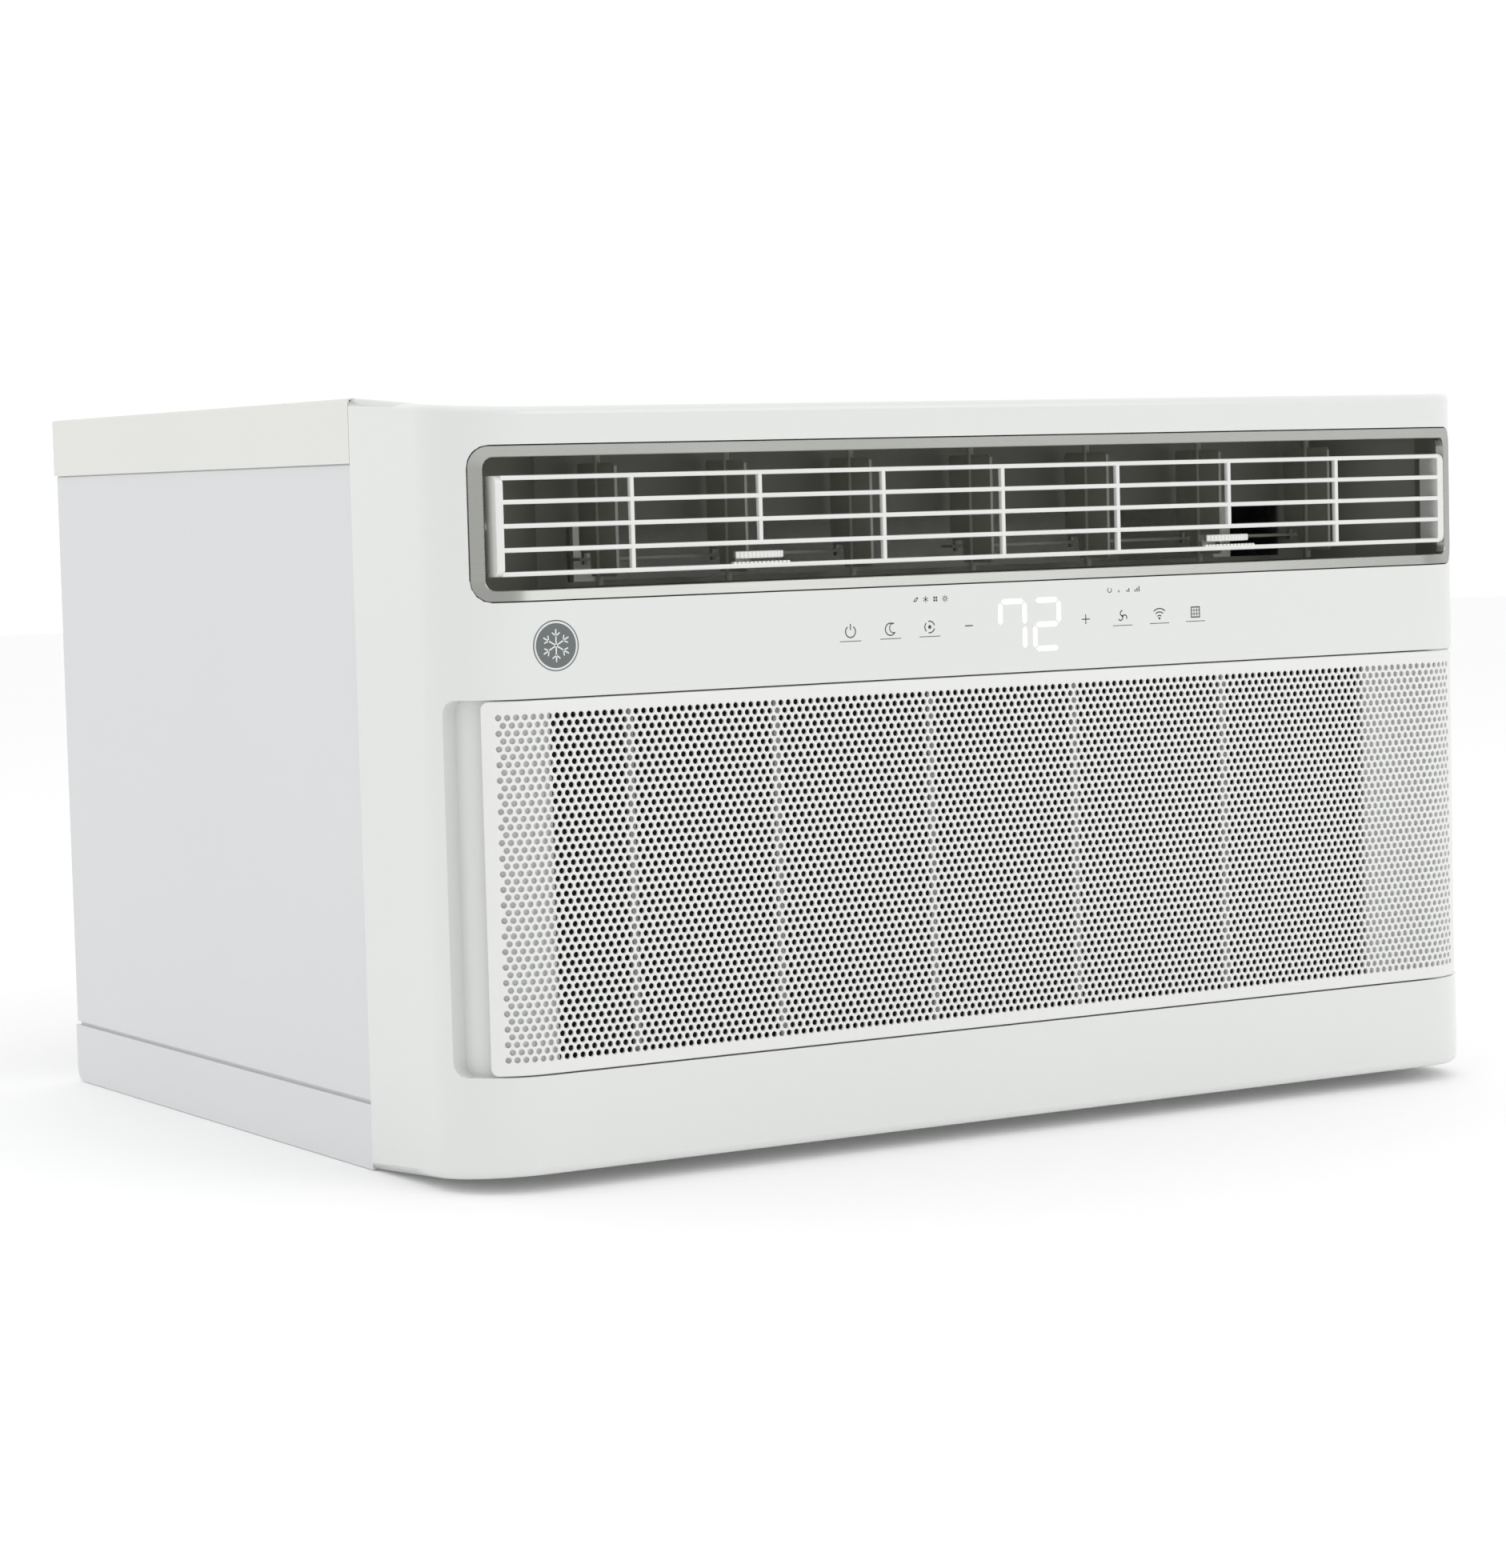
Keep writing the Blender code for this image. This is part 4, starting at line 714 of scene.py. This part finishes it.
TEETH = 14
TOOTH_PITCH = 2 * LEDGE_HALF / TEETH
TOOTH_R = 0.00105
rows_of_teeth = []
for side in (-1, 1):
    bm = bmesh.new()
    tooth_x = side * 2 * UPRIGHT_PITCH - LEDGE_HALF + TOOTH_PITCH / 2
    at = Matrix.Translation((tooth_x, louvre_face + 0.0018, lowest + BAR / 2 - 0.0001))
    at = at @ Matrix.Rotation(math.pi / 2, 4, "X")
    add_pin(bm, at, TOOTH_R, 0.0028, 14)
    teeth = new_piece("teeth", bm, white_abs)
    rows_of_teeth.append(grow(teeth, repeat, Count=TEETH, Step=(TOOTH_PITCH, 0.0, 0.0), Material=white_abs))
join_pieces(louvre, uprights, *plates, *rows_of_teeth)
smoothed(louvre)
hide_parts("louvre_frame")
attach(louvre, "louvre")

# --- Vane levers ------------------------------------------------------------------------------------------
# Two flat white ABS levers on the louvre's arms. The rim is ribbed for a fingertip, with a rib every 2.3 mm,
# and each lever turns one bank of vanes.

LEVER_REACH = 0.0200
LEVER_RIM_R = 0.0450
LEVER_HALF = 0.0148
LEVER_RIBS = 13
LEVER_THICK = 0.0036
BOSS_R = 0.0040
for name, node, body, lever_x in (
    ("left_ribbed_lever", "left_vane_lever", "left_lever", -2 * UPRIGHT_PITCH),
    ("right_ribbed_lever", "right_vane_lever", "right_lever", 2 * UPRIGHT_PITCH),
):
    low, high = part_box(node)
    axis_y = low.y + LEVER_REACH
    rim_y = low.y + LEVER_RIM_R
    sweep = math.asin(LEVER_HALF / LEVER_RIM_R) - 0.01
    outline = []
    steps = LEVER_RIBS * 8
    for step in range(steps + 1):
        turn = sweep * (2 * step / steps - 1)
        groove = max(0.0, math.cos(2 * math.pi * step / 8)) ** 6
        radius = LEVER_RIM_R - 0.00045 * groove
        outline.append((lever_x + radius * math.sin(turn), rim_y - radius * math.cos(turn)))
    tail = [(0.0080, -0.0090), (0.0043, -0.0015), (0.0016, 0.0040), (0.0012, 0.0070)]
    outline += [(lever_x + across, axis_y + back) for across, back in tail]
    outline += [(lever_x - across, axis_y + back) for across, back in reversed(tail)]
    bm = bmesh.new()
    lever_foot = high.z - LEVER_THICK
    levels = [(0.0004, lever_foot), (0.0, lever_foot + 0.0004), (0.0, high.z - 0.0004), (0.0004, high.z)]
    rings = []
    for inset, height in levels:
        ring_verts = []
        for x, y in outline:
            share = 1 - inset / math.hypot(x - lever_x, y - axis_y)
            spot = (lever_x + (x - lever_x) * share, axis_y + (y - axis_y) * share, height)
            ring_verts.append(bm.verts.new(spot))
        rings.append(ring_verts)
    add_walls(bm, rings)
    bm.faces.new(rings[0])
    bm.faces.new(rings[-1])
    at = Matrix.Translation((lever_x, axis_y, (low.z + lever_foot) / 2 + 0.0003))
    add_pin(bm, at, BOSS_R, lever_foot - low.z + 0.0006, 28)
    bmesh.ops.recalc_face_normals(bm, faces=bm.faces)
    lever = smoothed(new_piece(name, bm, white_abs))
    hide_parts(node)
    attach(lever, body)

# --- Outlet duct and vanes --------------------------------------------------------------------------------
# Grey polypropylene mouldings: the duct that leads air out, the seven upright vanes and the two bars
# that link them. The mould's fine texture leaves them matte, with a faint sheen along the vanes.

duct_polypropylene = make_surface("moulded_grey_polypropylene", "#85857D", "#7B7B74", 70, 0.50, 0.9, 0.010)
vane_polypropylene = make_surface("moulded_vane_polypropylene", "#A3A399", "#98988F", 40, 0.42, 0.9, 0.008)
dress(duct_polypropylene, "discharge_duct")
dress(vane_polypropylene, *[f"vane_{number}" for number in range(1, 8)], "left_link_bar", "right_link_bar")

# --- Touch marks, digits and badge ------------------------------------------------------------------------
# Grey pad-printed marks on the front, 0.05 mm proud: a small generic sign over a rule for each touch key.
# Two seven-segment digits shine white through the plastic, and a plain round badge carries a snow crystal.

print_grey = make_surface("grey_pad_printing_ink", "#454B4B", "#3E4444", 4, 0.45, 0.3, 0.002)
INK = 0.00005


def spot_off(centre, reach, turn):
    """The point (x, z) at a distance and an angle from another."""
    return (centre[0] + reach * math.cos(turn), centre[1] + reach * math.sin(turn))


def add_flat(bm, points, proud=INK):
    """Add a flat shape of (x, z) points, proud of the front's face, with its edge going back into it."""
    loops = []
    for depth in (FACE - proud, FACE + 0.00005):
        loops.append([bm.verts.new((x, depth, z)) for x, z in points])
        bm.faces.new(loops[-1])
    add_walls(bm, loops)


def add_line(bm, start, stop, width):
    """Add a straight printed line."""
    start = Vector(start)
    stop = Vector(stop)
    side = (stop - start).normalized().orthogonal() * width / 2
    add_flat(bm, [tuple(point) for point in (start + side, stop + side, stop - side, start - side)])


def add_arc(bm, centre, radius, width, first=0, last=360, steps=24):
    """Add part of a printed ring, from one angle to another in degrees."""
    for step in range(steps):
        corners = []
        for share, out in ((step, 1), (step + 1, 1), (step + 1, -1), (step, -1)):
            turn = math.radians(first + (last - first) * share / steps)
            corners.append(spot_off(centre, radius + out * width / 2, turn))
        add_flat(bm, corners)


def add_disc(bm, centre, radius, proud=INK, steps=32):
    """Add a printed disc."""
    turns = [2 * math.pi * step / steps for step in range(steps)]
    add_flat(bm, [spot_off(centre, radius, turn) for turn in turns], proud)


def add_crystal(bm, centre, reach, width, barbs=True):
    """Add a six-armed snow crystal."""
    for arm in range(6):
        turn = math.radians(90 + 60 * arm)
        add_line(bm, centre, spot_off(centre, reach, turn), width)
        if barbs:
            fork = spot_off(centre, 0.58 * reach, turn)
            for lean in (-52, 52):
                add_line(bm, fork, spot_off(fork, 0.34 * reach, turn + math.radians(lean)), width * 0.9)


LINE = 0.00042
FINE = 0.0003
SIGN_Z = 0.2889
marks = bmesh.new()
# The row of keys, from the left: on and off, night, mode, less, more, speed, wireless and filter.
KEYS = {
    "power": (-0.1005, 0.2738),
    "night": (-0.0758, 0.2741),
    "mode": (-0.0513, 0.2743),
    "speed": (0.0735, 0.2752),
    "wireless": (0.0982, 0.2754),
    "filter": (0.1226, 0.2756),
}
x, z = KEYS["power"]
add_arc(marks, (x, z), 0.0021, LINE, 125, 415)
add_line(marks, (x, z + 0.0006), (x, z + 0.0028), LINE)
x, z = KEYS["night"]
add_arc(marks, (x, z), 0.0022, LINE, 60, 330)
add_arc(marks, (x + 0.0013, z + 0.0004), 0.0017, LINE * 0.8, 80, 290)
x, z = KEYS["mode"]
for turn in (0, 120, 240):
    add_arc(marks, (x, z), 0.0021, LINE, turn + 15, turn + 105, 8)
add_disc(marks, (x, z), 0.0007)
x, z = KEYS["speed"]
for turn in (90, 210, 330):
    add_arc(marks, spot_off((x, z), 0.0011, math.radians(turn)), 0.0010, LINE, turn, turn + 200, 10)
add_disc(marks, (x, z), 0.0004)
x, z = KEYS["wireless"]
for radius in (0.0013, 0.0026, 0.0039):
    add_arc(marks, (x, z - 0.0018), radius, LINE, 48, 132, 8)
add_disc(marks, (x, z - 0.0016), 0.00045)
x, z = KEYS["filter"]
for offset in (-0.0019, 0.0019):
    add_line(marks, (x + offset, z - 0.0021), (x + offset, z + 0.0021), LINE)
    add_line(marks, (x - 0.0021, z + offset), (x + 0.0021, z + offset), LINE)
for offset in (-0.00065, 0.00065):
    add_line(marks, (x + offset, z - 0.0019), (x + offset, z + 0.0019), LINE * 0.6)
    add_line(marks, (x - 0.0019, z + offset), (x + 0.0019, z + offset), LINE * 0.6)
# Over the mode key a leaf, a crystal, a fan and a sun; over the speed key a ring and one to three bars.
for number, x in enumerate((-0.0596, -0.0535, -0.0474, -0.0413)):
    spot = (x, SIGN_Z)
    if number == 0:
        add_arc(marks, (x + 0.0005, SIGN_Z - 0.0005), 0.0011, FINE, 60, 200, 8)
        add_arc(marks, (x - 0.0005, SIGN_Z + 0.0005), 0.0011, FINE, 240, 380, 8)
    elif number == 1:
        add_crystal(marks, spot, 0.0012, 0.00026, barbs=False)
    elif number == 2:
        for blade in range(4):
            turn = math.radians(45 + 90 * blade)
            add_disc(marks, spot_off(spot, 0.0007, turn), 0.00042, steps=10)
    else:
        add_arc(marks, spot, 0.0006, FINE, steps=12)
        for ray in range(8):
            turn = math.radians(45 * ray)
            add_line(marks, spot_off(spot, 0.0009, turn), spot_off(spot, 0.0013, turn), 0.00025)
add_arc(marks, (0.0652, 0.2895), 0.0009, FINE, 120, 400, 10)
for number, x in enumerate((0.0713, 0.0774, 0.0835)):
    for bar in range(number + 1):
        left = x + (bar - number / 2) * 0.0009
        add_line(marks, (left, 0.2885), (left, 0.2893 + 0.0006 * bar), 0.00045)
# Every sign is enlarged about its own centre; the rules, the minus and the plus keep their size.
SIGN = 1.45
centres = [*KEYS.values(), *[(x, SIGN_Z) for x in (-0.0596, -0.0535, -0.0474, -0.0413)]]
centres += [(x, 0.2892) for x in (0.0652, 0.0713, 0.0774, 0.0835)]
for vert in marks.verts:
    centre = min(centres, key=lambda spot: math.hypot(vert.co.x - spot[0], vert.co.z - spot[1]))
    vert.co.x = centre[0] + SIGN * (vert.co.x - centre[0])
    vert.co.z = centre[1] + SIGN * (vert.co.z - centre[1])
for x, z in KEYS.values():
    add_line(marks, (x - 0.0065, z - 0.0050), (x + 0.0065, z - 0.0050), 0.00036)
add_line(marks, (-0.0290, 0.2740), (-0.0240, 0.2740), 0.00060)
add_line(marks, (0.0465, 0.2745), (0.0517, 0.2745), 0.00055)
add_line(marks, (0.0491, 0.2719), (0.0491, 0.2771), 0.00055)
bmesh.ops.recalc_face_normals(marks, faces=marks.faces)
touch_marks = new_piece("touch_marks", marks, print_grey)
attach(touch_marks, "cabinet")

display_white = make_surface(
    "backlit_white_segments", "#FFFFFF", "#FDFDFD", 5, 0.30, 1.0, 0.001, Emission_Strength=0.06
)
display_white.node_tree.nodes["Principled BSDF"].inputs["Emission Color"].default_value = linear("#FFFFFF")
SEGMENT = 0.0030
SEGMENT_GAP = 0.0005
DIGIT_W = 0.0186
DIGIT_H = 0.0288
DIGIT_FOOT = 0.2585
SEGMENTS = {
    "top": ((0, 2), (1, 2)),
    "upper_left": ((0, 1), (0, 2)),
    "upper_right": ((1, 1), (1, 2)),
    "middle": ((0, 1), (1, 1)),
    "lower_left": ((0, 0), (0, 1)),
    "lower_right": ((1, 0), (1, 1)),
    "bottom": ((0, 0), (1, 0)),
}
bm = bmesh.new()
for left, lit in (
    (-0.0078, ("top", "upper_left", "upper_right", "lower_right")),
    (0.0144, ("top", "upper_right", "middle", "lower_left", "bottom")),
):
    for segment in lit:
        ends = []
        for column, row in SEGMENTS[segment]:
            x = left + SEGMENT / 2 + column * (DIGIT_W - SEGMENT)
            ends.append(Vector((x, DIGIT_FOOT + SEGMENT / 2 + row * (DIGIT_H - SEGMENT) / 2)))
        forward = (ends[1] - ends[0]).normalized()
        across = forward.orthogonal() * SEGMENT / 2
        tips = [ends[0] + forward * SEGMENT_GAP, ends[1] - forward * SEGMENT_GAP]
        slope = forward * (SEGMENT / 2 + SEGMENT_GAP)
        shoulders = [ends[0] + slope, ends[1] - slope]
        points = [tips[0], shoulders[0] + across, shoulders[1] + across, tips[1], shoulders[1] - across]
        points.append(shoulders[0] - across)
        add_flat(bm, [tuple(point) for point in points], 0.00003)
bmesh.ops.recalc_face_normals(bm, faces=bm.faces)
digits = new_piece("display_digits", bm, display_white)
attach(digits, "cabinet")

badge_grey = make_surface("grey_badge_enamel", "#666C6D", "#5F6566", 8, 0.30, 0.5, 0.002, Coat_Weight=0.4)
BADGE = (-0.2736, 0.2739)
for name, material in (("badge_disc", badge_grey), ("badge_crystal", white_abs)):
    bm = bmesh.new()
    if name == "badge_disc":
        add_disc(bm, BADGE, 0.0112, 0.00010, 48)
        add_arc(bm, BADGE, 0.0125, 0.0006, steps=64)
    else:
        add_crystal(bm, BADGE, 0.0082, 0.0007)
    for vert in bm.verts:
        vert.co.y -= FACE
        if name == "badge_crystal":
            vert.co.y -= 0.00010
    bmesh.ops.recalc_face_normals(bm, faces=bm.faces)
    badge = new_piece(name, bm, material)
    bend_on(badge, material)
    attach(badge, "cabinet")

# --- Coils ------------------------------------------------------------------------------------------------
# Thin aluminium fins pressed on copper hairpins. The fins stand every 1.8 mm with 0.2 mm of metal, drawn
# every 2.4 mm so that they show. The indoor coil's copper bends stick out at both ends.

fin_stock = make_surface(
    "rolled_aluminium_fin_stock", "#B4B7B9", "#A4A7AA", 30, 0.38, 0.8, 0.004, Metallic=1.0
)
coil_copper = make_surface("drawn_copper_tube", "#C9815C", "#B06A48", 25, 0.28, 0.7, 0.003, Metallic=1.0)
FIN_PITCH = 0.0024
for name, node, keep in (
    ("indoor_fins", "evaporator_coil", 0.2840),
    ("outdoor_fins", "condenser_coil", 0.3050),
):
    low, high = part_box(node)
    bm = bmesh.new()
    fin_low = (-keep + 0.0030, low.y, low.z)
    add_block(bm, fin_low, (-keep + 0.0032, high.y, high.z))
    fins = new_piece(name, bm, fin_stock)
    count = int((2 * keep - 0.0062) / FIN_PITCH) + 1
    grow(fins, repeat, Count=count, Step=(FIN_PITCH, 0.0, 0.0), Material=fin_stock)
    bm = bmesh.new()
    for side in (-1, 1):
        ends = sorted((side * keep, side * (keep - 0.0012)))
        add_block(bm, (ends[0], low.y, low.z), (ends[1], high.y, high.z), 0.0003)
    join_pieces(fins, new_piece("plates", bm, fin_stock))
    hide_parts(node)
    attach(fins, "cabinet")


def make_pipe(name, paths, radius, material):
    """Round pipe along closed or open paths, as one mesh."""
    curve = bpy.data.curves.new(name, "CURVE")
    curve.dimensions = "3D"
    curve.bevel_depth = radius
    curve.bevel_resolution = 3
    for path, is_loop in paths:
        spline = curve.splines.new("POLY")
        spline.points.add(len(path) - 1)
        for point, at in zip(spline.points, path):
            point.co = (*at, 1)
        spline.use_cyclic_u = is_loop
    drawn = bpy.data.objects.new(name, curve)
    bpy.context.scene.collection.objects.link(drawn)
    bpy.context.view_layer.update()
    mesh = bpy.data.meshes.new_from_object(drawn.evaluated_get(bpy.context.evaluated_depsgraph_get()))
    bpy.data.objects.remove(drawn)
    mesh.name = name
    mesh.materials.clear()
    mesh.materials.append(material)
    piece = bpy.data.objects.new(name, mesh)
    bpy.context.scene.collection.objects.link(piece)
    mesh.shade_smooth()
    return piece


COIL_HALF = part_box("evaporator_coil")[1].x
BEND_R = 0.0125
PIPE_R = 0.0040
hairpin_y = FACE + 0.0515
loops = []
for row in range(4):
    middle = 0.0685 + row * 0.0640
    loop = []
    for side in (1, -1):
        for step in range(13):
            turn = math.pi * (step / 12 - 0.5)
            out = side * (COIL_HALF - PIPE_R - BEND_R + BEND_R * math.cos(turn))
            loop.append((out, hairpin_y, middle + side * BEND_R * math.sin(turn)))
    loops.append((loop, True))
hairpins = make_pipe("indoor_hairpins", loops, PIPE_R, coil_copper)
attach(hairpins, "cabinet")

# --- Refrigeration set ------------------------------------------------------------------------------------
# Copper runs, brazed and a little dulled by heat, between the coils, the suction can and the compressor. The
# compressor and can are black stove-enamelled steel on rubber grommets and zinc-plated studs.

dress(coil_copper, "suction_tube", "accumulator_tube", "discharge_tube", "capillary_tube")
black_enamel = make_surface("black_stove_enamel", "#1D1E20", "#141516", 40, 0.34, 2.0, 0.010, Coat_Weight=0.2)
dress(black_enamel, "compressor", "accumulator")
rubber = make_surface("black_nitrile_rubber", "#1B1B1B", "#131313", 10, 0.78, 0.8, 0.02)
dress(rubber, *[f"compressor_grommet_{number}" for number in (1, 2, 3)])
zinc_plate = make_surface("zinc_plated_steel", "#C3C4BE", "#AEB0A8", 8, 0.30, 0.8, 0.004, Metallic=1.0)
dress(zinc_plate, *[f"compressor_stud_{number}" for number in (1, 2, 3)])

# --- Fans and air passages --------------------------------------------------------------------------------
# A squirrel-cage blower in a white foam scroll indoors, and a five-bladed fan with a slinger ring outdoors,
# both on one ground steel shaft through the galvanised motor. Sheet parts show a zinc spangle 8 mm across.

spangle = make_surface("galvanised_sheet_steel", "#B2B6B9", "#A2A6A9", 30, 0.42, 1.0, 0.004, Metallic=1.0)
tree = spangle.node_tree
place = add_node(tree, "ShaderNodeTexCoord").outputs["Object"]
flakes = add_node(tree, "ShaderNodeTexVoronoi", {"Vector": place, "Scale": 1000 / 8.0})
tones = {0: flakes.outputs["Color"], 6: linear("#9DA1A4"), 7: linear("#B9BDC0")}
tone = add_node(tree, "ShaderNodeMix", tones, data_type="RGBA")
tree.links.new(tone.outputs[2], tree.nodes["Principled BSDF"].inputs["Base Color"])
dress(spangle, "bulkhead", "fan_shroud", "fan_motor", "motor_bracket", "control_box", "control_box_cover")
foam = make_surface("expanded_polystyrene", "#F0F0EC", "#E6E6E1", 20, 0.85, 1.0, 0.01)
tree = foam.node_tree
place = add_node(tree, "ShaderNodeTexCoord").outputs["Object"]
beads = add_node(tree, "ShaderNodeTexVoronoi", {"Vector": place, "Scale": 1000 / 3.5}, feature="SMOOTH_F1")
pitting = {"Height": beads.outputs["Distance"], "Distance": 0.0004}
pores = add_node(tree, "ShaderNodeBump", pitting, invert=True)
tree.links.new(pores.outputs[0], tree.nodes["Principled BSDF"].inputs["Normal"])
dress(foam, "blower_housing")
fan_plastic = make_surface("moulded_black_polypropylene", "#232323", "#1B1B1B", 30, 0.45, 1.0, 0.008)
dress(fan_plastic, "blower_wheel", "condenser_fan")
ground_steel = make_surface(
    "ground_steel_shaft", "#B9BBBD", "#A9ABAD", 20, 0.25, 0.4, 0.002, stretch=(1.0, 0.05, 1.0), Metallic=1.0
)
dress(ground_steel, "motor_shaft")
tray_polypropylene = make_surface(
    "moulded_drain_tray_polypropylene", "#D9DBD8", "#CFD1CE", 60, 0.5, 1.2, 0.01
)
dress(tray_polypropylene, "drain_pan")
heater_sheath = make_surface(
    "oxidised_heater_sheath", "#6A625B", "#4F4843", 12, 0.40, 0.8, 0.004, Metallic=1.0
)
dress(heater_sheath, "heater_element")

# --- Electrics --------------------------------------------------------------------------------------------
# Boards of green glass epoxy with fine copper tracks under the lacquer, a smoked display block, and the run
# capacitor in its drawn aluminium can.

board = make_surface("green_glass_epoxy_board", "#1F5A3A", "#184B30", 15, 0.40, 0.8, 0.003, Coat_Weight=0.3)
tree = board.node_tree
place = add_node(tree, "ShaderNodeTexCoord").outputs["Object"]
turned = add_node(tree, "ShaderNodeMapping", {"Vector": place, "Rotation": (math.pi / 2, 0.0, 0.0)})
tracks = add_node(
    tree,
    "ShaderNodeTexBrick",
    {
        "Vector": turned.outputs[0],
        "Color1": linear("#1F5A3A"),
        "Color2": linear("#236441"),
        "Mortar": linear("#3E8A5C"),
        "Scale": 1000 / 6.0,
        "Mortar Size": 0.06,
    },
)
tree.links.new(tracks.outputs["Color"], tree.nodes["Principled BSDF"].inputs["Base Color"])
dress(board, "touch_board", "power_board")
display_plastic = make_surface("smoked_display_plastic", "#2B2B2C", "#242425", 12, 0.30, 0.8, 0.003)
dress(display_plastic, "digit_display")
down_can = (1.0, 1.0, 0.1)
drawn_can = make_surface(
    "drawn_aluminium_can", "#C2C4C6", "#B4B6B8", 15, 0.32, 0.5, 0.003, down_can, Metallic=1.0
)
dress(drawn_can, "run_capacitor")

# --- Outdoor guard and screws -----------------------------------------------------------------------------
# A slotted galvanised plate over the outdoor coil, held by zinc-plated hex-head screws with washer faces.

dress(spangle, "rear_grille")
scatter, given, end = start_tree("screws_at_points", {"Screw": "Object", "Material": "Material"})
screw_shape = add_node(scatter, "GeometryNodeObjectInfo", {"Object": given["Screw"]}).outputs["Geometry"]
placed = {"Points": given["Geometry"], "Instance": screw_shape}
placed = add_node(scatter, "GeometryNodeInstanceOnPoints", placed)
end_tree(scatter, placed.outputs[0], given["Material"], end)

guard_low, guard_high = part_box("rear_grille")
bm = bmesh.new()
facing = Matrix.Rotation(-math.pi / 2, 4, "X")
for sides, radius, foot, height in ((20, 0.0046, 0.0, 0.0008), (6, 0.0036, 0.0007, 0.0031)):
    add_pin(bm, facing @ Matrix.Translation((0, 0, foot + height / 2)), radius, height, sides, 0.92)
screw = new_piece("screw", bm, zinc_plate)
bm = bmesh.new()
SCREW_INSET = 0.0065
SCREW_REACH = 0.3165
for x in (-SCREW_REACH, -0.1580, 0.0, 0.1580, SCREW_REACH):
    for z in (guard_low.z + SCREW_INSET, guard_high.z - SCREW_INSET):
        bm.verts.new((x, guard_high.y, z))
for x in (-SCREW_REACH, SCREW_REACH):
    for z in (0.165, 0.285):
        bm.verts.new((x, guard_high.y, z))
screws = new_piece("guard_screws", bm, zinc_plate)
grow(screws, scatter, Screw=screw, Material=zinc_plate)
bpy.data.objects.remove(screw)
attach(screws, "cabinet")
